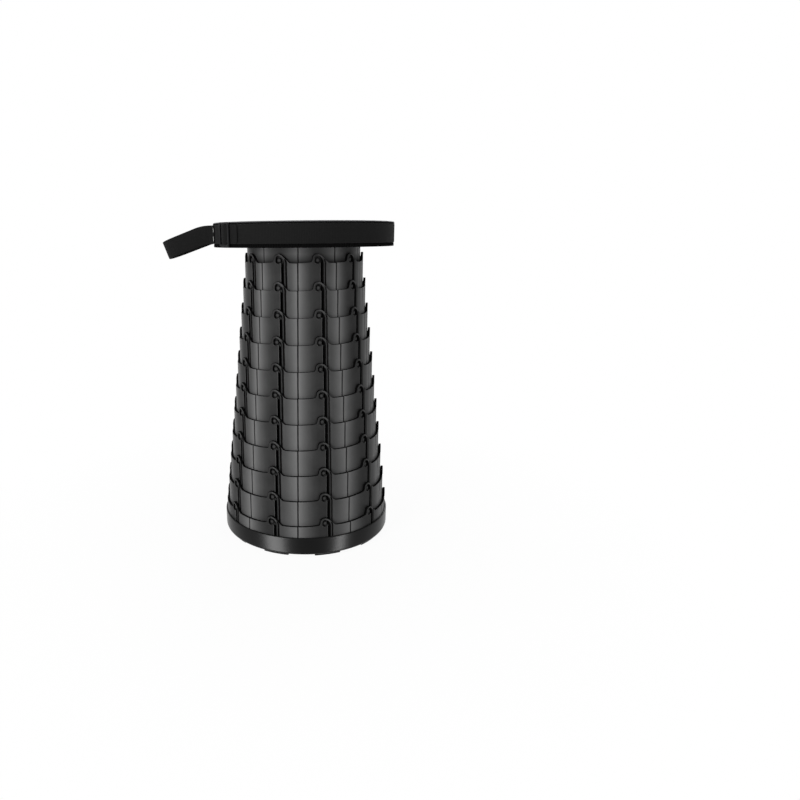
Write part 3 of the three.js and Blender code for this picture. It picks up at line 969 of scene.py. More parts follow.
    def heights(
        self, place: Array, gap: Array, kind: Array, seam: Array, trench: Array, half: float
    ) -> Array:
        """Height of each point over the ring's face: the sum of rim, trench, the panel's crown, which
        is a parabola, the edges' rounding and the groove between units.

        Args:
            place: The points' places, one line per row.
            gap: The lines' lengths.
            kind: The stretch that each line belongs to.
            seam: Whether each line ends between two units.
            trench: How deep the trench is on each line, from 0 to 1.
            half: Half the unit's length.

        Returns:
            The heights, one line per row.
        """
        relief = self.relief
        near = self.edge(gap)
        x, z = place[..., 0], place[..., 1]
        start = np.where(x > 0, relief.crown_start_right, relief.crown_start_left)
        crown = 1 - np.clip((half - np.abs(x)) / (half - start), 0, 1) ** 2
        crown = np.where(z > relief.lug_foot, crown * relief.lug_crown, crown)
        rim = np.where(np.isin(kind, (Stretch.FOOT, Stretch.TOE)), 0.0, relief.rim_height)
        rim = np.where(kind == Stretch.LEFT, relief.bead_height, rim)
        narrow = np.clip((relief.strip_gap - gap) / relief.strip_fade, 0, 1)
        lift = np.zeros_like(x)
        lift[:, :4] = rim[:, None]
        lift[:, 4:] = (rim * narrow)[:, None]
        lift[:, 4:6] -= relief.trench_depth * trench[:, None]
        height = lift + relief.crown_height * crown
        height[:, 0] -= near
        height[:, 1] -= KNEE * near
        height[:, -2] -= np.where(seam, relief.seam_slope * relief.seam_depth, KNEE * near)
        height[:, -1] -= np.where(seam, relief.seam_depth, near)
        return height

    def painted_sheen_share(self, x: Array, kind: Array, half: float) -> Array:
        """How much painted highlight each point gets: it rises as a power of the nearness to the panel's
        middle, in one way on the right of a hook and in another on its left, and the bead gets a painted
        highlight too.

        Args:
            x: The points' distance from the pocket, one line per row.
            kind: The stretch that each line belongs to.
            half: Half the unit's length.

        Returns:
            A share from 0 to 1 per point.
        """
        relief = self.relief
        left = kind == Stretch.LEFT
        right = (x > 0) & ~left[:, None]
        start = np.where(right, relief.crown_start_right, relief.crown_start_left)
        nearness = np.clip((np.abs(x) - start) / (half - start), 0, 1)
        rub = np.where(right, risen(nearness, self.painted_light.right), risen(nearness, self.painted_light.left))
        rub[left, 1:3] = self.painted_light.bead
        return rub

    def painted_shade_share(self, z: Array, low: float, trench: Array, seam: Array) -> Array:
        """How much painted shade each point gets: wholly on edges, in the trench, in the groove between
        units and along the ring's foot, and by a share on the rim strip.

        Args:
            z: The points' height from the main top edge, one line per row.
            low: Height of the ring's lower edge from there.
            trench: How deep the trench is on each line, from 0 to 1.
            seam: Whether each line ends between two units.

        Returns:
            A share from 0 to 1 per point.
        """
        recess = np.zeros_like(z)
        recess[:, 0] = 1.0
        recess[:, 1] = self.painted_light.edge_shade
        recess[:, 1:4] = np.maximum(recess[:, 1:4], self.painted_light.rim_shade * trench[:, None])
        recess[:, 4:6] = trench[:, None]
        recess[:, -3] = np.where(seam, self.painted_light.seam_shade, 1.0)
        recess[:, -2:] = 1.0
        return np.where(z < low + self.painted_light.shaded_foot_height, 1.0, recess)

    def inner_rows(self, inside: Array, outside: Array, kind: Array) -> tuple[Array, Array]:
        """Rows of the inner face, from the border back to the opening. Under the pocket, the wall is
        cut down to a skin, so that the pegs of the next ring can pass: there a step lies where the
        line crosses the channel's left side.

        Args:
            inside: The opening's points.
            outside: The border's points.
            kind: The stretch that each line belongs to.

        Returns:
            The rows' places and their depth below the outer face.
        """
        size, step, touch = self.sizes, self.channel_step, self.channel_touch
        channelled = kind >= Stretch.LEFT
        buried = (kind == Stretch.TOE) & (outside[:, 0] > size.channel_left - touch)
        run = outside[:, 0] - inside[:, 0]
        run = np.where(np.abs(run) < touch, 1, run)
        cross = np.clip((size.channel_left - inside[:, 0]) / run, step, self.channel_end)
        cross = np.where(buried | ~channelled, self.plain_share, cross)
        full = np.where(buried, size.channel_skin, size.wall)
        thin = np.where(channelled, size.channel_skin, size.wall)
        share = columns(1.0, (cross + step + 1) / 2, cross + step, cross, 0.0)
        place = between(inside, outside, share)
        place[:, -1, 0] -= self.relief.slot_taper * self.taper_share(kind)
        return place, columns(full, full, full, thin, thin)

    def taper_share(self, kind: Array) -> Array:
        """How far the opening is drawn in at the inner face: fully along its right side, rising to
        that round the heel and falling off along the shoulder.

        Args:
            kind: The stretch that each line belongs to.

        Returns:
            A share from 0 to 1 per line.
        """
        share = np.isin(kind, (Stretch.SIDE, Stretch.KNEE)).astype(float)
        foot, shoulder = kind == Stretch.FOOT, kind == Stretch.SHOULDER
        share[foot] = np.clip(np.linspace(self.heel_start, 1, foot.sum()), 0, 1)
        share[shoulder] = np.linspace(1, 0, shoulder.sum())
        return share

    def peg(self, number: int, height: float) -> Shell:
        """A peg with a low dome: a quarter ellipse turned about a line straight out of the ring.

        Args:
            number: The ring's number from the top.
            height: Height of the peg's middle.

        Returns:
            The peg at the first hook's place.
        """
        size = self.sizes
        rise = np.linspace(0, np.pi / 2, self.dome_steps)
        dome = (1 - size.peg_dome) * size.peg_height + size.peg_dome * size.peg_height * np.sin(rise)
        reach = size.radius(number) + np.concatenate([[-size.peg_root, -size.peg_root], dome])
        ring = np.concatenate([[0.0, size.peg_radius], size.peg_radius * np.cos(rise)])
        turn = full_turn(self.peg_steps)[:, None]
        across, up = ring * np.cos(turn), ring * np.sin(turn)
        sine, cosine = math.sin(size.hook_phase), math.cos(size.hook_phase)
        x = reach * sine + across * cosine
        y = -reach * cosine + across * sine
        points = np.stack([x, y, height + up], axis=-1)
        face = np.linspace(0, 1, len(reach))
        quads = grid_quads(self.peg_steps, len(reach), wrap_rows=True)
        # Painted shade darkens the peg towards its foot; a painted highlight pales its dome.
        start, fall = self.painted_light.peg_shade
        recess = np.clip(start - fall * face, 0, 1)
        return Shell.on_grid(points, quads, rub=self.painted_light.peg * face ** 2, recess=recess).outward()

    def ring(self, number: int, low: float, high: float) -> Shell:
        """A whole ring: its unit and peg repeated round the axis, the units welded to each other.

        Args:
            number: The ring's number from the top.
            low: Height of the ring's lower edge.
            high: Height of its main top edge.

        Returns:
            The ring.
        """
        unit = self.unit_shell(number, low, high)
        turns = self.sizes.turns()
        wall = joined([unit.turned(turn) for turn in turns]).welded().outward()
        if number == self.sizes.count:
            return wall
        peg = self.peg(number, low + self.sizes.peg_rise)
        return joined([wall] + [peg.turned(turn) for turn in turns])

    def build(self) -> None:
        """Makes each ring where its node lies, in place of the node."""
        material = self.finish.material()
        for number in range(2, self.sizes.count + 1):
            node = f"ring_{number:02d}"
            low, crown = levels(node)
            shell = self.ring(number, low, crown - self.sizes.lug_height)
            place_piece(f"{node}_moulding", shell, material, node)


@dataclass
class TopRing:
    """The smallest ring, plain at the top, where five screws in bosses hold it to the seat."""

    stack: RingStack
    screws: int = 5
    boss_radius: float = 5.0
    boss_bore: float = 2.0
    boss_height: float = 11.0
    bore_round: float = 0.3
    boss_round: float = 0.5
    boss_place: float = 71.9
    boss_steps: int = 24
    panel_steps: int = 16
    wall_rows: Span = (15.0, 30.0)

    def wall(self, low: float, high: float) -> Shell:
        """The ring's wall: point (i, j) lies at the i-th angle and on the j-th point of a closed
        section, raised by the panel's crown and sunk in the groove between units. A painted highlight
        rises towards each panel's middle, and painted shade lies in the groove, on the inner face and on
        the foot that the next ring covers.

        Args:
            low: Height of the ring's lower edge.
            high: Height of its upper edge.

        Returns:
            The wall.
        """
        sizes, relief = self.stack.sizes, self.stack.relief
        radius, half, groove = sizes.radius(1), sizes.unit(1) / 2, relief.seam_half
        knee = half - relief.seam_knee * groove
        panel = np.linspace(-half + groove, half - groove, self.panel_steps)
        x = np.concatenate([[-half, -knee], panel, [knee]])
        share = np.abs(x) / half
        crown = relief.crown_height * (1 - (1 - share) ** 2)
        edge = np.abs(x) > half - 0.5 * groove
        sink = np.where(edge, relief.seam_slope * relief.seam_depth, 0.0)
        sink[0] = relief.seam_depth
        turn = (sizes.hook_phase + x / radius)[None, :] + sizes.turns()[:, None]
        lift = np.tile(crown - sink, sizes.hooks)[:, None]
        # Painted highlight towards each panel's middle; painted shade in the groove, on the inner face and
        # on the covered foot.
        rub = np.tile(risen(share, self.stack.painted_light.top_ring) * ~edge, sizes.hooks)[:, None]
        dark = np.tile(edge.astype(float), sizes.hooks)[:, None]
        e, top = relief.edge_round, high - low
        depth = np.array([-e, -KNEE * e, 0, 0, 0, 0, -sizes.wall, -sizes.wall])
        height = np.array([0, KNEE * e, e, *self.wall_rows, top, top, 0])
        outer = depth > -sizes.wall
        covered = ~outer | (height < sizes.hoop)
        points = around(radius + depth + lift * outer, turn.reshape(-1)[:, None], low + height)
        quads = grid_quads(len(lift), len(depth), wrap_rows=True, wrap_columns=True)
        return Shell.on_grid(points, quads, rub=rub * outer, recess=np.maximum(dark, covered)).outward()

    def boss(self, turn: float, high: float) -> Shell:
        """A bored boss: a closed section turned about its own upright axis.

        Args:
            turn: The boss's angle round the stool in radians.
            high: Height of its upper end.

        Returns:
            The boss.
        """
        low = high - self.boss_height
        section = softened((
            (self.boss_bore, high, 0.0), (self.boss_bore, low, self.bore_round),
            (self.boss_radius, low, self.boss_round), (self.boss_radius, high, 0.0),
        ))
        shell = lathe(section, self.boss_steps)
        shell.points = shell.points - np.array([0, self.boss_place, 0])
        # The bosses are wholly painted dark as shade.
        shell.values = {"rub": np.zeros(len(shell.points)), "recess": np.ones(len(shell.points))}
        return shell.turned(turn)

    def build(self) -> None:
        """Makes the ring where its node lies, in place of the node."""
        sizes = self.stack.sizes
        low, high = levels("ring_01")
        peg = self.stack.peg(1, low + sizes.peg_rise)
        first = sizes.hook_phase + math.pi / sizes.hooks
        bosses = [first + i * 2 * math.pi / self.screws for i in range(self.screws)]
        parts = [self.wall(low, high)] + [peg.turned(turn) for turn in sizes.turns()]
        shell = joined(parts + [self.boss(turn, high) for turn in bosses])
        place_piece("ring_01_moulding", shell, self.stack.finish.material(), "ring_01")


@dataclass
class BaseCup:
    """The shallow cup that the rings stand in, with ten pads under it."""

    finish: Moulding
    pad_finish: Moulding
    outer: float = 123.0
    inner: float = 121.04
    plate: float = 3.0
    edge_round: float = 4.8
    brim_round: float = 1.3
    face_radius: float = 92.8
    face_step: float = 0.8
    corner_round: float = 0.4
    plate_round: float = 1.2
    brim_touch: float = 0.2
    plate_touch: float = 0.1
    pads: int = 10
    pad_phase: float = 15.0
    pad_span: float = 18.0
    pad_outer: float = 118.0
    pad_inner: float = 101.0
    pad_round: float = 0.8
    pad_steps: int = 14
    end_draw: tuple[float, float, float] = (1.0, 0.25, 0.08)
    draw_share: float = 0.25
    round_steps: int = 192

    def shell(self, top: float) -> Shell:
        """The cup: a closed profile with a rounded foot and brim, turned about the axis. Its inside
        is painted dark as shade.

        Args:
            top: Height of the brim.

        Returns:
            The cup.
        """
        step, corner = self.face_step, self.corner_round
        profile = softened((
            (0.0, 0.0, 0.0), (self.face_radius, 0.0, corner), (self.face_radius + step, step, corner),
            (self.outer, step, self.edge_round), (self.outer, top, self.brim_round),
            (self.inner, top, corner), (self.inner, self.plate, self.plate_round), (0.0, self.plate, 0.0),
        ), steps=8)
        shell = lathe(profile, self.round_steps, closed=False)
        x, y, z = shell.points.T
        inside = (np.hypot(x, y) < self.inner + self.brim_touch) & (z > self.plate - self.plate_touch)
        # The inside takes the painted shade.
        shell.values = {"rub": np.zeros(len(shell.points)), "recess": 1.0 * inside}
        return shell

    def pad(self, number: int, low: float, high: float) -> Shell:
        """A pad: a box bent round the axis, whose section (radius, height) has rounded lower corners
        and is drawn in towards both ends.

        Args:
            number: The pad's number from 0 on.
            low: Height of its lower face.
            high: Height of its upper face.

        Returns:
            The pad.
        """
        section = softened((
            (self.pad_inner, high, 0.0), (self.pad_inner, low, self.pad_round),
            (self.pad_outer, low, self.pad_round), (self.pad_outer, high, 0.0),
        ))
        end = math.degrees(self.pad_round / self.pad_outer)
        half = self.pad_span / 2
        flat = np.linspace(-half + end, half - end, self.pad_steps)
        angle = np.concatenate([[-half, -half, -half + KNEE * end], flat, [half - KNEE * end, half, half]])
        shrink = np.concatenate([self.end_draw, 0 * flat, self.end_draw[::-1]])[:, None]
        middle = section.mean(axis=0)
        radius = section[None, :, 0] + (middle[0] - section[None, :, 0]) * shrink * self.draw_share
        height = section[None, :, 1] + (high - section[None, :, 1]) * shrink * self.draw_share
        radius[0] = radius[-1] = middle[0]
        height[0] = height[-1] = middle[1]
        turn = np.radians(self.pad_phase + number * 360 / self.pads + angle)[:, None]
        quads = grid_quads(*radius.shape, wrap_columns=True)
        return Shell.on_grid(around(radius, turn, height), quads, rub=0.0).welded().outward()

    def build(self) -> None:
        """Makes the cup and its pads where their nodes lie, in place of the nodes."""
        top = levels("base_shell")[1]
        place_piece("base_cup", self.shell(top), self.finish.material(), "base_shell")
        rubber = self.pad_finish.material()
        for number in range(self.pads):
            node = f"foot_{number + 1:02d}"
            place_piece(f"{node}_pad", self.pad(number, *levels(node)), rubber, node)


@dataclass
class Seat:
    """The round seat: a shell with a skirt and a toothed lip, an orange disc with two finger holes,
    and the screws that hold the top ring."""

    finish: Moulding
    disc_finish: Moulding
    screw_finish: Metal
    radius: float = 124.8
    channel: float = 123.2
    skirt_inner: float = 121.4
    plate: float = 4.5
    edge_round: float = 3.2
    under_round: float = 1.0
    opening_round: float = 0.35
    corner_round: float = 0.3
    skirt_round: float = 0.4
    channel_round: float = 0.2
    side_round: float = 0.8
    side_flat: float = 0.9
    side_touch: float = 0.3
    well_touch: float = 0.1
    well_drop: float = 0.2
    rubbed_width: float = 4.0
    rubbed_drop: float = 1.2
    lip_radius: float = 124.4
    lip_height: float = 4.4
    tooth_depth: float = 0.7
    tooth_edge: float = 0.35
    tooth_bevel: float = 0.05
    tooth_root: float = 0.6
    tooth_wave: Span = (0.5, 0.9)
    teeth: int = 230
    steps_per_tooth: int = 8
    opening: float = 47.5
    ledge: float = 41.3
    ledge_drop: float = 1.9
    round_steps: int = 256
    disc_radius: float = 47.0
    disc_wall: float = 1.5
    disc_edge: float = 0.35
    disc_steps: int = 96
    hole_radius: float = 11.5
    hole_offset: float = 28.5
    hole_depth: float = 5.0
    hole_shade: float = 0.8
    rim_width: float = 6.3
    rim_share: float = 0.6
    rim_lip: float = 0.3
    notch_depth: float = 1.1
    notch_angle: float = 9.0
    notch_turn: float = 19.0
    screws: int = 5
    screw_place: float = 71.9
    screw_phase: float = 30.9
    screw_head: Points = (
        (0.0, 0.05), (0.35, 0.05), (0.7, 0.08), (1.2, 0.12), (1.7, 0.2),
        (2.3, 0.4), (2.9, 0.8), (3.3, 1.3), (3.3, 2.0), (1.7, 2.0),
    )
    screw_tip: Points = ((1.7, -0.8), (0.6, 0.0), (0.0, 0.0))
    cross_reach: float = 1.5
    cross_half: float = 0.3
    cross_depth: float = 0.9
    screw_steps: int = 32

    def body(self, low: float, high: float) -> Shell:
        """The seat's shell without its teeth: a closed profile turned about the axis. The top's edge
        carries a painted highlight; the side, the underside and the well of the disc carry painted shade.

        Args:
            low: Height of the skirt's lower edge.
            high: Height of the seat's top.

        Returns:
            The shell.
        """
        lip_top = low + self.lip_height
        under = high - self.plate
        core = self.lip_radius - self.tooth_depth
        corner, edge = self.corner_round, self.edge_round
        profile = softened((
            (self.opening, high, self.opening_round), (self.opening, high - self.ledge_drop, 0.0),
            (self.ledge, high - self.ledge_drop, corner), (self.ledge, under, corner),
            (self.skirt_inner, under, self.under_round), (self.skirt_inner, low, self.skirt_round),
            (core, low, corner), (core, lip_top, corner),
            (self.channel, lip_top, self.channel_round), (self.channel, high - edge, 0.0),
            (self.radius, high - edge, self.side_round), (self.radius, high, edge - self.side_flat),
        ), steps=6)
        shell = lathe(profile, self.round_steps)
        height = shell.points[:, 2]
        reach = np.hypot(shell.points[:, 0], shell.points[:, 1])
        # Painted highlight along the top's edge; painted shade on the side, the underside and the well.
        rub = np.clip((reach - self.radius) / self.rubbed_width + 1, 0, 1) * (height > under)
        side = (reach > self.radius - self.side_touch) & (height < high - self.rubbed_drop)
        well = (reach < self.opening + self.well_touch) & (height < high - self.well_drop)
        shell.values = {"rub": rub * ~side, "recess": 1.0 * ((height < under) | side | well)}
        return shell

    def tooth_ring(self, low: float) -> Shell:
        """The lip's teeth: a closed section whose outer side follows a flattened cosine round the
        axis, so that it stands out at each tooth and falls back between them.

        Args:
            low: Height of the skirt's lower edge.

        Returns:
            The ring of teeth.
        """
        steps = self.teeth * self.steps_per_tooth
        turn = full_turn(steps)[:, None]
        middle, swing = self.tooth_wave
        wave = np.clip(middle + swing * np.cos(self.teeth * turn), 0, 1)
        top, edge, lip = low + self.lip_height, self.tooth_edge, self.lip_radius
        inner, bevel = self.channel - self.tooth_root, self.tooth_bevel
        section = np.array([
            (inner, low + edge), (inner, top - edge), (lip - edge, top - bevel),
            (lip, top - edge), (lip, low + edge), (lip - edge, low + bevel),
        ])
        outer = np.array([0, 0, 1, 1, 1, 1])
        reach = section[:, 0] - outer * self.tooth_depth * (1 - wave)
        quads = grid_quads(steps, len(section), wrap_rows=True, wrap_columns=True)
        # The teeth are wholly painted dark as shade.
        return Shell.on_grid(around(reach, turn, section[:, 1]), quads, rub=0.0, recess=1.0).outward()

    def half_disc(self, side: int, top: float, depth: float) -> Shell:
        """Half of the disc, up to the line through its middle. Line i runs from the finger hole's edge
        to the half's border, and a closed section follows it: collar, hole wall, rounded edges, top
        face, rim, underside. The hole's edge is its circle plus one narrow bell-shaped notch.

        Args:
            side: 1 for the right half, -1 for the left one.
            top: Height of the disc's face.
            depth: Thickness of the disc.

        Returns:
            The half disc's shell.
        """
        turn = full_turn(self.disc_steps)
        corner = math.atan2(self.disc_radius, -self.hole_offset)
        for angle in (corner, 2 * math.pi - corner):
            turn[np.abs(turn - angle).argmin()] = angle
        middle = math.pi / 2 - side * math.radians(self.notch_turn)
        offset = np.degrees(np.abs((turn - middle + np.pi) % (2 * np.pi) - np.pi))
        notch = self.notch_depth * np.exp(-((offset / self.notch_angle) ** 4))
        direction = np.stack([np.cos(turn), np.sin(turn)], axis=1)
        hole = np.array([self.hole_offset, 0.0])
        inside = hole + direction * (self.hole_radius + notch)[:, None]
        along = direction @ hole
        reach = -along + np.sqrt(along ** 2 - self.hole_offset ** 2 + self.disc_radius ** 2)
        to_line = -self.hole_offset / np.minimum(direction[:, 0], -TOUCH)
        seam, on_rim = to_line < reach + TOUCH, to_line > reach - TOUCH
        outside = hole + direction * np.minimum(reach, to_line)[:, None]
        gap = np.linalg.norm(outside - inside, axis=1)
        edge, wall, low, under = self.disc_edge, self.disc_wall, top - self.hole_depth, top - depth
        ledge = np.maximum(gap - self.rim_width, gap * self.rim_share)
        rim_foot = np.where(on_rim, top - depth / 2 + self.rim_lip, under)
        distance = columns(
            wall, 0, 0, KNEE * edge, edge, gap * 0.5, gap - edge, gap - KNEE * edge, gap, gap,
            ledge, ledge, wall,
        )
        height = columns(
            low, low, top - edge, top - KNEE * edge, top, top, top, top - KNEE * edge * on_rim,
            top - edge * on_rim, rim_foot, rim_foot, under, under,
        )
        place = between(inside, outside, distance / gap[:, None])
        points = np.concatenate([place, height[..., None]], axis=2)
        points[..., 0] *= side
        # Painted shade: the hole's wall and collar, and the rim and underside where the disc sits in the
        # seat.
        recess = np.zeros_like(height)
        recess[:, :2] = 1.0
        recess[:, 2] = self.hole_shade
        recess[:, 8:] = on_rim[:, None]
        return Shell.on_grid(points, seamed_quads(*height.shape, seam, 8), rub=0.0, recess=recess)

    def screw(self, number: int, low: float, high: float) -> Shell:
        """A pan-head screw, head down: a profile turned about its own axis, with a cross pressed into
        the head where either coordinate is small.

        Args:
            number: The screw's number from 0 on.
            low: Height of its head's face.
            high: Height of its tip.

        Returns:
            The screw.
        """
        head = [(radius, low + height) for radius, height in self.screw_head]
        tip = [(radius, high + height) for radius, height in self.screw_tip]
        shell = lathe(np.array(head + tip), self.screw_steps, closed=False)
        x, y, z = shell.points.T
        cross = (np.hypot(x, y) < self.cross_reach) & (z < head[-1][1])
        cross &= np.minimum(np.abs(x), np.abs(y)) < self.cross_half
        shell.points[:, 2] = np.where(cross, z + self.cross_depth, z)
        shell.points = shell.points - np.array([0, self.screw_place, 0])
        return shell.turned(math.radians(self.screw_phase + number * 360 / self.screws))

    def build(self) -> None:
        """Makes the seat, its disc and its screws where their nodes lie, in place of the nodes."""
        low, high = levels("seat_shell")
        shell = joined([self.body(low, high), self.tooth_ring(low)])
        place_piece("seat_top_shell", shell, self.finish.material(), "seat_shell", 30.0)
        low, high = levels("centre_disc")
        disc = joined([self.half_disc(side, high, high - low).outward() for side in (-1, 1)]).welded()
        orange = self.disc_finish.material()
        place_piece("disc_with_finger_holes", disc, orange, "centre_disc")
        steel = self.screw_finish.material()
        for number in range(self.screws):
            node = f"seat_screw_{number + 1}"
            place_piece(f"{node}_pan_head", self.screw(number, *levels(node)), steel, node)


@dataclass
class StrapSet:
    """The carrying strap: a band round the seat's channel, a loop at the left, a tri-glide slider and
    the strap's tail. The tape's section is given by half: how far up each point lies, and how far
    out; the other half mirrors it."""

    webbing: Webbing
    thread: Webbing
    buckle_finish: Moulding
    inner: float = 123.5
    thickness: float = 1.4
    gap: float = 0.3
    rib: float = 2.0
    rib_depth: float = 0.2
    steps_per_rib: int = 6
    section_up: tuple[float, ...] = (0.0, 0.012, 0.035, 0.5, 0.965, 0.988, 1.0)
    section_out: tuple[float, ...] = (0.3, 0.75, 1, 1, 1, 0.75, 0.3)
    sharp_angle: float = 60.0
    start_angle: float = -76.0
    end_angle: float = -107.0
    lap_angle: float = 5.0
    reach: float = 70.0
    width: float = 56.0
    tip_flat: float = 4.0
    droop_angle: float = 20.0
    droop_run: float = 18.0
    bend_start: float = 1.0
    bend_end: float = 36.0
    slider_angle: float = -52.0
    slider_length: float = 23.0
    slider_thickness: float = 1.8
    side_bar: float = 3.0
    end_bar: float = 2.6
    centre_bar: float = 3.4
    slider_corner: float = 3.0
    window_corner: float = 0.8
    slider_edge: float = 0.4
    edge_share: float = 0.25
    slider_steps: int = 80
    seam_step: float = 0.02
    tail_reach: float = 13.0
    tail_run_in: float = 4.0
    tail_end: float = 6.0
    tail_narrowing: float = 0.35
    bar_run: float = 0.6
    smooth_steps: int = 7
    loop_smoothing: int = 3
    lap_steps: int = 8
    tip_steps: int = 41
    stitch_inset: float = 0.7
    stitches: tuple[Span, Span] = ((0.14, 0.42), (0.60, 0.88))
    stitch_across: tuple[float, ...] = (-0.45, -0.32, 0.0, 0.32, 0.45, 0.0)
    stitch_out: tuple[float, ...] = (0.0, 0.3, 0.42, 0.3, 0.0, -0.2)
    stitch_taper: tuple[float, ...] = (0.05, 0.7, 1, 1, 1, 1, 1, 1, 1, 1, 0.7, 0.05)

    def ribs(self, along: Array) -> Array:
        """Depth that the tape falls back between its ribs, as a cosine along it."""
        return self.rib_depth * (0.5 - 0.5 * np.cos(2 * np.pi * along / self.rib))

    def tape(
        self, line: Array, side: Array, along: Array, height: Array | float, closed: bool = False
    ) -> Shell:
        """Webbing carried along a line: at each point of the line, a section goes round the tape,
        with rounded edges, and its two faces fall back between the ribs.

        Args:
            line: Middle line of the tape, one point per row.
            side: Unit vectors out of the tape's outer face.
            along: Running length at each point.
            height: The tape's width, which stands upright.
            closed: Whether the line closes on itself.

        Returns:
            The tape's shell with its weave map.
        """
        edge = np.zeros_like(line)
        edge[:, 2] = height / 2
        up, bulge = np.array(self.section_up), np.array(self.section_out)
        level, out = np.concatenate([up, up[::-1]]), np.concatenate([bulge, -bulge[::-1]])
        depth = (self.thickness / 2 - self.ribs(along)[:, None] * np.abs(out)) * out
        points = line[:, None] + side[:, None] * depth[..., None]
        points = points - edge[:, None] * (1 - level[None, :, None]) + edge[:, None] * level[None, :, None]
        weave = np.stack(np.broadcast_arrays(along[:, None], level * 2 * edge[:, 2:]), axis=-1)
        quads = grid_quads(*points.shape[:2], wrap_rows=closed, wrap_columns=True)
        shells = [Shell.on_grid(points, quads, weave=weave)]
        count = len(up)
        for end in () if closed else (0, -1):
            pair, value = (
                np.stack([grid[end, :count], grid[end, :count - 1:-1]], axis=1) for grid in (points, weave)
            )
            cap = Shell.on_grid(pair, grid_quads(count, 2), weave=value)
            if end:
                cap.quads = cap.quads[:, ::-1]
            shells.append(cap)
        return joined(shells).welded().outward()

    def band(self, low: float, high: float) -> Shell:
        """The band: tape round the axis, with a whole number of ribs.

        Args:
            low: Height of its lower edge.
            high: Height of its upper edge.

        Returns:
            The band.
        """
        radius = self.inner + self.thickness / 2
        ribs = round(2 * math.pi * radius / self.rib)
        turn = full_turn(ribs * self.steps_per_rib)
        line = around(radius, turn, (low + high) / 2)
        along = turn * ribs * self.rib / (2 * np.pi)
        return self.tape(line, around(1.0, turn, 0.0), along, high - low, closed=True)

    def loop_line(self, middle: float) -> tuple[Array, Array]:
        """Middle line of the loop, seen from above: lapped on the band, straight out, round two
        quarter circles and back, and smoothed by averaging neighbours.

        Args:
            middle: Height of the line.

        Returns:
            The line and the direction in which the loop stands out.
        """
        lap = self.inner + 2 * self.thickness + self.gap - self.thickness / 2
        bearing = math.radians((self.start_angle + self.end_angle) / 2)
        outward = around(1.0, bearing, 0.0)
        sideways = np.array([-outward[1], outward[0], 0.0])
        corner = self.width / 2 - self.tip_flat
        centre = lap + self.reach - corner
        turn = np.linspace(-np.pi / 2, np.pi / 2, self.tip_steps)
        flat = np.where(turn == 0, 0, np.sign(turn)) * self.tip_flat
        out = centre + corner * np.cos(turn)
        tip = out[:, None] * outward + (flat + corner * np.sin(turn))[:, None] * sideways
        start, end, steps = self.start_angle, self.end_angle, self.lap_steps
        first = np.radians(np.linspace(end - self.lap_angle, end, steps))
        last = np.radians(np.linspace(start, start + self.lap_angle, steps))
        smooth = np.concatenate([around(lap, first, 0.0), tip, around(lap, last, 0.0)])
        for _ in range(self.loop_smoothing):
            smooth[1:-1] = 0.25 * smooth[:-2] + 0.5 * smooth[1:-1] + 0.25 * smooth[2:]
        length = np.linalg.norm(np.diff(smooth, axis=0), axis=1).sum()
        line = spread(smooth, round(length / self.rib) * self.steps_per_rib + 1)
        line[:, 2] = middle
        return line, outward

    def droop(self, points: Array, outward: Array, middle: float) -> Array:
        """Lets points that stand out from the band sag: over the droop's run the tape bends evenly
        down to the droop's angle, and then slopes straight on.

        Args:
            points: The points.
            outward: The direction in which they stand out.
            middle: Height of the tape's middle.

        Returns:
            The points in their new places.
        """
        distance = points @ outward - (self.inner + self.thickness)
        height = points[:, 2] - middle
        run = np.clip(distance, 0, self.droop_run)
        rest = np.maximum(distance - self.droop_run, 0)
        bend = math.radians(self.droop_angle) * run / self.droop_run
        out = np.minimum(distance, 0) + run * np.cos(bend / 2) + rest * np.cos(bend) + height * np.sin(bend)
        rise = height * np.cos(bend) - run * np.sin(bend / 2) - rest * np.sin(bend)
        bent = points + (out - distance)[:, None] * outward
        bent[:, 2] = middle + rise
        return bent

    def loop(self, low: float, high: float) -> tuple[Shell, Array]:
        """The carrying loop: tape along the loop's line, with a whole number of ribs, and its droop.

        Args:
            low: Height of the band's lower edge.
            high: Height of its upper edge.

        Returns:
            The loop's shell and the direction in which it stands out.
        """
        middle = (low + high) / 2
        line, outward = self.loop_line(middle)
        steps = np.linalg.norm(np.diff(line, axis=0), axis=1)
        along = np.concatenate([[0.0], np.cumsum(steps)])
        along = along * round(along[-1] / self.rib) * self.rib / along[-1]
        shell = self.tape(line, rightward(line), along, high - low)
        shell.points = self.droop(shell.points, outward, middle)
        return shell, outward

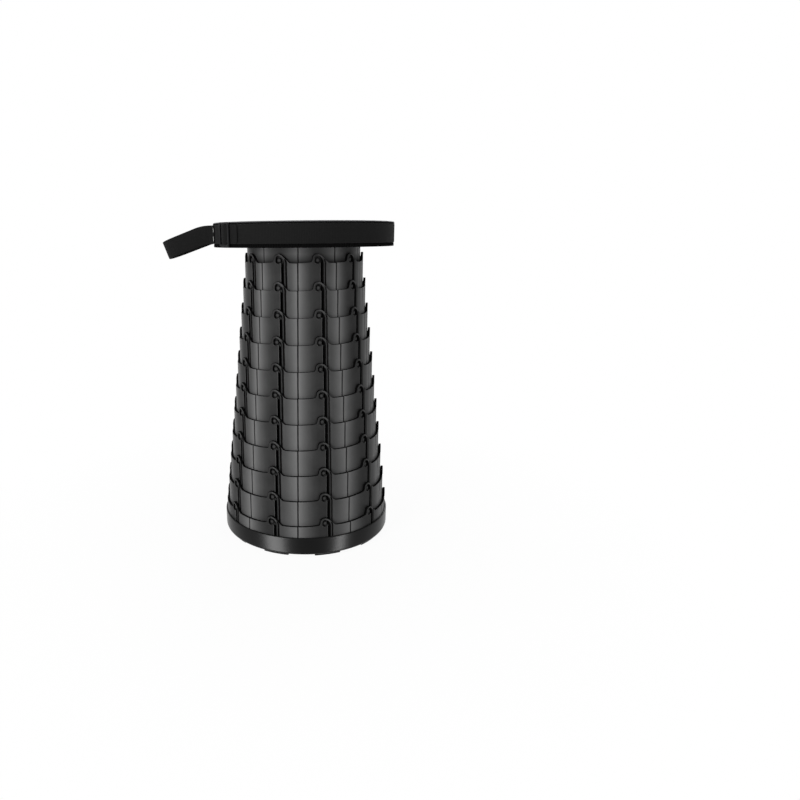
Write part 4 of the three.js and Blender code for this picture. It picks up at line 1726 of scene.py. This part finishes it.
    def slider(self, low: float, high: float) -> Shell:
        """The tri-glide: for each of its two windows, line i runs from the window's edge to half of
        the rounded outline and a closed section with rounded edges follows it; the halves meet in the
        middle of the centre bar. The plate is then laid flat against the band.

        Args:
            low: Height of its lower edge.
            high: Height of its upper edge.

        Returns:
            The slider.
        """
        across, up = self.slider_length / 2, (high - low) / 2
        left, right, sill = self.centre_bar / 2, across - self.side_bar, up - self.end_bar
        sills = ((left, -sill), (right, -sill), (right, sill), (left, sill))
        window = softened(tuple((x, z, self.window_corner) for x, z in sills))
        outline = softened((
            (0.0, -up, 0.0), (across, -up, self.slider_corner),
            (across, up, self.slider_corner), (0.0, up, 0.0),
        ))
        inside, outside = (spread_round(curve, self.slider_steps) for curve in (window, outline))
        seam = np.abs(outside[:, 0]) < TOUCH
        gap = np.linalg.norm(outside - inside, axis=1)
        thick = self.slider_thickness
        edge = np.minimum(self.slider_edge, self.edge_share * gap)
        far = np.where(seam, self.seam_step, edge)
        fall = np.where(seam, 0.0, edge)
        distance = columns(
            edge, KNEE * edge, 0, 0, KNEE * edge, edge, gap * 0.5,
            gap - far, gap - KNEE * far, gap, gap, gap - KNEE * far, gap - far,
        )
        height = columns(
            0, KNEE * edge, edge, thick - edge, thick - KNEE * edge, thick, thick,
            thick, thick - KNEE * fall, thick - fall, fall, KNEE * fall, 0,
        )
        x, z = np.moveaxis(between(inside, outside, distance / gap[:, None]), 2, 0)
        radius = self.inner + 2 * self.thickness + 2 * self.gap + height
        quads = seamed_quads(*height.shape, seam, 9)
        flats = [np.stack([side * x, -radius, (low + high) / 2 + z], axis=-1) for side in (-1, 1)]
        halves = [Shell.on_grid(flat, quads, rub=0.0).outward() for flat in flats]
        return joined(halves).turned(math.radians(self.slider_angle))

    def tail(self, low: float, high: float) -> Shell:
        """The tail: tape under one side bar, over the centre bar, under the other side bar and out to
        a rounded end. Its height over the band runs through those places and is averaged twice.

        Args:
            low: Height of its lower edge.
            high: Height of its upper edge.

        Returns:
            The tail.
        """
        lift = self.thickness + 2 * self.gap + self.slider_thickness
        window = self.slider_length / 2 - self.side_bar
        bar = self.centre_bar / 2 + self.bar_run
        end = window + self.side_bar + self.tail_reach
        start = -window - self.side_bar - self.tail_run_in
        steps = round((end - start) / self.rib) * self.steps_per_rib
        along = np.linspace(start, end, steps + 1)
        height = np.interp(along, (start, -window, -bar, bar, window, end), (0, 0, lift, lift, 0, 0))
        kernel = np.ones(self.smooth_steps) / self.smooth_steps
        margin = self.smooth_steps // 2
        for _ in range(2):
            height[margin:-margin] = np.convolve(height, kernel, mode="valid")
        base = self.inner + self.thickness + self.gap + self.thickness / 2
        line = around(base + height, along / base, (low + high) / 2)
        rounding = np.clip((along - (end - self.tail_end)) / self.tail_end, 0, 1)
        share = 1 - self.tail_narrowing * (1 - np.sqrt(np.maximum(1 - rounding ** 2, 0.0)))
        shell = self.tape(line, rightward(line), along, (high - low) * share)
        return shell.turned(math.radians(self.slider_angle))

    def bartack(self, low: float, high: float) -> Shell:
        """Two upright white stitches where the loop is sewn to the band: half-round bars.

        Args:
            low: Height of the band's lower edge.
            high: Height of its upper edge.

        Returns:
            The stitches.
        """
        radius = self.inner + 2 * self.thickness + self.gap
        turn = math.radians(self.start_angle + self.lap_angle - self.stitch_inset)
        across, out = np.array(self.stitch_across), np.array(self.stitch_out)
        taper = np.array(self.stitch_taper)[:, None]
        bars = []
        for start, end in self.stitches:
            level = np.linspace(low + (high - low) * start, low + (high - low) * end, len(taper))[:, None]
            points = around(radius + out * taper, turn + across * taper / radius, level)
            weave = np.stack(np.broadcast_arrays(level, across), axis=-1)
            quads = grid_quads(*points.shape[:2], wrap_columns=True)
            bars.append(Shell.on_grid(points, quads, weave=weave).outward())
        return joined(bars)

    def build(self) -> None:
        """Makes the strap's pieces where their nodes lie, in place of the nodes."""
        low, high = levels("rim_strap")
        tape, sharp = self.webbing.material(), self.sharp_angle
        place_piece("rim_strap_band", self.band(low, high), tape, "rim_strap", sharp)
        shell, outward = self.loop(low, high)
        loop = make_mesh("handle_loop_tape", shell, sharp)
        loop.data.materials.append(tape)
        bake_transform(loop)
        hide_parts("handle_loop")
        thread = make_mesh("loop_bartack", self.bartack(low, high), sharp)
        thread.data.materials.append(self.thread.material())
        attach(thread, "seat")
        buckle, black = self.slider(*levels("slider_buckle")), self.buckle_finish.material()
        place_piece("tri_glide_slider", buckle, black, "slider_buckle")
        place_piece("strap_tail_tape", self.tail(low, high), tape, "strap_tail", sharp)


@dataclass(frozen=True)
class SoftLamp:
    """A rectangular soft lamp. Its bearing is in degrees from the front towards the right. Its reach
    from the stool's axis, its height, the height on the axis that it faces and its width and height
    are in metres, and its power is in watts."""

    name: str
    bearing: float
    reach: float
    height: float
    aim: float
    size: Span
    power: float

    def hang(self) -> bpy.types.Object:
        """Hangs the lamp in the scene.

        Returns:
            The lamp.
        """
        light = bpy.data.lights.new(self.name, "AREA")
        light.shape = "RECTANGLE"
        light.size, light.size_y = self.size
        light.energy = self.power
        lamp = in_scene(self.name, light)
        place = around(self.reach, math.radians(self.bearing), self.height)
        lamp.location = place
        x, y, z = np.array([0.0, 0.0, self.aim]) - place
        lamp.rotation_euler = (math.atan2(math.hypot(x, y), -z), 0.0, math.atan2(-x, y))
        return lamp


@dataclass
class Studio:
    """A white sweep with soft lamps, and the camera at the photograph's place. Lengths are in metres."""

    distance: float = 0.8973
    height: float = 0.4242
    bearing: float = 0.45
    pitch: float = 14.52
    roll: float = -0.526
    lens: float = 28.032
    shift_x: float = 0.11841
    shift_y: float = -0.00179
    clip_start: float = 0.01
    floor_half: float = 6.0
    floor_drop: float = 0.0002
    paper_grey: float = 0.82
    shadow_share: float = 0.05
    shadow_start: float = 0.16
    shadow_end: float = 0.55
    world_strength: float = 0.12
    strips: tuple[SoftLamp, ...] = (
        SoftLamp("strip_front_left", -42.0, 1.3, -0.6, -0.6, (0.55, 1.2), 49.1),
        SoftLamp("strip_front_right", 46.0, 1.3, -0.6, -0.6, (0.22, 1.2), 25.1),
    )
    lamps: tuple[SoftLamp, ...] = (
        SoftLamp("lamp_front_left", -38.0, 1.6, 0.7, 0.22, (0.5, 1.3), 20.0),
        SoftLamp("lamp_front_right", 42.0, 1.6, 0.7, 0.22, (0.3, 1.3), 6.0),
        SoftLamp("lamp_over", 180.0, 0.1, 1.9, 0.22, (1.4, 1.4), 12.0),
        SoftLamp("lamp_behind", 170.0, 1.6, 1.0, 0.22, (1.0, 1.3), 14.0),
    )

    def camera(self) -> None:
        """Sets the camera: set back along -Y, raised, pitched down and rolled, and then the whole
        turned about the stool's axis by its bearing."""
        lens = bpy.data.cameras.new("camera")
        lens.lens = self.lens
        lens.shift_x = self.shift_x
        lens.shift_y = self.shift_y
        lens.clip_start = self.clip_start
        camera = in_scene("camera", lens)
        place = Matrix.Translation((0.0, -self.distance, self.height))
        tilt = Matrix.Rotation(math.radians(90 - self.pitch), 4, "X")
        roll = Matrix.Rotation(math.radians(self.roll), 4, "Z")
        camera.matrix_world = Matrix.Rotation(math.radians(self.bearing), 4, "Z") @ place @ tilt @ roll
        bpy.context.scene.camera = camera

    def floor(self, level: float) -> bpy.types.Object:
        """Lays the floor: white paper that shows white to the camera. A share of its shaded colour
        shows near the stool and fades out with the distance from it, so the shadow stays there.

        Args:
            level: Height of the floor.

        Returns:
            The floor.
        """
        half, grey = self.floor_half, self.paper_grey
        corners = [(-half, -half, level), (half, -half, level), (half, half, level), (-half, half, level)]
        mesh = bpy.data.meshes.new("floor")
        mesh.from_pydata(corners, [], [(0, 1, 2, 3)])
        floor = in_scene("floor", mesh)
        made, tree, shader = start_material("white_paper_sweep")
        tree.nodes.remove(shader)
        paper = add_node(tree, "ShaderNodeBsdfDiffuse", {"Color": (grey, grey, grey, 1)}, {})
        glow = add_node(tree, "ShaderNodeEmission", {"Strength": 1.0}, {})
        place = add_node(tree, "ShaderNodeTexCoord", {}, {}).outputs["Object"]
        reach = add_node(tree, "ShaderNodeVectorMath", {"operation": "LENGTH"}, {0: place})
        white = add_node(
            tree,
            "ShaderNodeMapRange",
            {1: self.shadow_start, 2: self.shadow_end, 3: 1 - self.shadow_share, 4: 1.0},
            {0: reach.outputs["Value"]},
        )
        shares = {0: self.seen(tree), 1: white.outputs[0]}
        keep = add_node(tree, "ShaderNodeMath", {"operation": "MULTIPLY"}, shares)
        looks = {0: keep.outputs[0], 1: paper.outputs[0], 2: glow.outputs[0]}
        mix = add_node(tree, "ShaderNodeMixShader", {}, looks)
        tree.links.new(mix.outputs[0], tree.nodes["Material Output"].inputs["Surface"])
        mesh.materials.append(made)
        floor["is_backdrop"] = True
        return floor

    def seen(self, tree: bpy.types.NodeTree) -> bpy.types.NodeSocket:
        """Adds what is 1 for rays from the camera, from a mirror or through glass, and 0 otherwise.

        Args:
            tree: The node tree of a material or of the world.

        Returns:
            The socket that gives it.
        """
        rays = add_node(tree, "ShaderNodeLightPath", {}, {}).outputs
        largest = {"operation": "MAXIMUM"}
        both = {0: rays["Is Camera Ray"], 1: rays["Is Glossy Ray"]}
        some = add_node(tree, "ShaderNodeMath", largest, both).outputs[0]
        every = {0: some, 1: rays["Is Transmission Ray"]}
        return add_node(tree, "ShaderNodeMath", largest, every).outputs[0]

    def world(self) -> None:
        """Sets the world: white where it is seen, and a dim white light where it isn't."""
        world = bpy.data.worlds.new("studio_white")
        bpy.context.scene.world = world
        world.use_nodes = True
        tree = world.node_tree
        back = tree.nodes["Background"]
        strength = add_node(
            tree,
            "ShaderNodeMapRange",
            {1: 0.0, 2: 1.0, 3: self.world_strength, 4: 1.0},
            {0: self.seen(tree)},
        )
        back.inputs["Color"].default_value = (1, 1, 1, 1)
        tree.links.new(strength.outputs[0], back.inputs["Strength"])

    def build(self, level: float) -> None:
        """Sets camera, floor, world and lamps. Two strips hang below the floor, which doesn't shade
        them: seen from above, that is where the upright gloss of the base looks for its mirror image.

        Args:
            level: Height of the pads' lower faces, just under which the floor lies.
        """
        self.camera()
        floor = self.floor(level - self.floor_drop)
        self.world()
        open_floor = bpy.data.collections.new("floor_lets_strips_through")
        open_floor.objects.link(floor)
        open_floor.collection_objects[0].light_linking.link_state = "EXCLUDE"
        base_only = bpy.data.collections.new("base_mirrors_strips")
        base_only.objects.link(bpy.data.objects["base_cup"])
        for lamp in self.strips:
            strip = lamp.hang()
            strip.light_linking.blocker_collection = open_floor
            strip.light_linking.receiver_collection = base_only
            strip.visible_diffuse = False
        for lamp in self.lamps:
            lamp.hang()
        bpy.context.scene.view_settings.view_transform = "Standard"


def bounds_list() -> list[list[float]]:
    """The whole object's box as plain lists: its lowest and its highest corner."""
    return [[float(value) for value in corner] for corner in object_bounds()]


def main() -> None:
    """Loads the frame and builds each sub-assembly around it."""
    logging.basicConfig(level=logging.INFO, format="%(name)s: %(message)s")
    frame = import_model()
    cad_box = bounds_list()
    for body, nodes in frame["record"]["behaviour"]["bodies"].items():
        BODY_OF.update({node: body for node in nodes})
    # Each moulding's second colour is a painted highlight.
    ring_plastic = Moulding(
        "satin_black_polypropylene", "#212121", "#7b7b7b", 0.5, 0.4, Grain.SATIN, 0.9, 0.02,
        gloss_level=0.05, cloudiness=0.025,
    )
    base_plastic = Moulding(
        "gloss_black_polypropylene", "#080808", "#141414", 0.28, 0.26, Grain.POLISHED, 1.2, 0.006,
        gloss_level=0.1,
    )
    seat_plastic = Moulding(
        "grained_black_polypropylene", "#3a3a3c", "#5c5c5e", 0.6, 0.45, Grain.PEBBLE, 1.1, 0.05,
        gloss_level=0.06, cloudiness=0.05,
    )
    # Its deep red is the painted shade on the finger holes' walls.
    disc_plastic = Moulding(
        "orange_polypropylene", "#fb6042", "#fd6f52", 0.55, 0.45, Grain.SATIN, 0.9, 0.015,
        gloss_level=0.05, cloudiness=0.04, recess_colour="#b3200c",
    )
    pad_rubber = Moulding("black_rubber", "#0e0e0f", "#1c1c1d", 0.82, 0.7, Grain.PEBBLE, 0.9, 0.05)
    buckle_plastic = Moulding("black_acetal", "#131314", "#303032", 0.3, 0.24, Grain.POLISHED, 0.8, 0.008)
    zinc = Metal("zinc_plated_steel", "#b9bcc0")
    # The webbing's second colour is painted shade between its threads.
    tape = Webbing("polypropylene_webbing", "#171717", "#080808")
    stitching = Webbing(
        "white_polyester_thread", "#dcdcda", "#8f8f8c", roughness=0.6, yarn_width=0.5, rib_width=0.5
    )
    stack = RingStack(ring_plastic)
    for builder in (
        BaseCup(base_plastic, pad_rubber),
        stack,
        TopRing(stack),
        Seat(seat_plastic, disc_plastic, zinc),
        StrapSet(tape, stitching, buckle_plastic),
    ):
        LOG.info("building %s", type(builder).__name__)
        builder.build()
    Studio().build(cad_box[0][2])


if __name__ == "__main__":
    main()
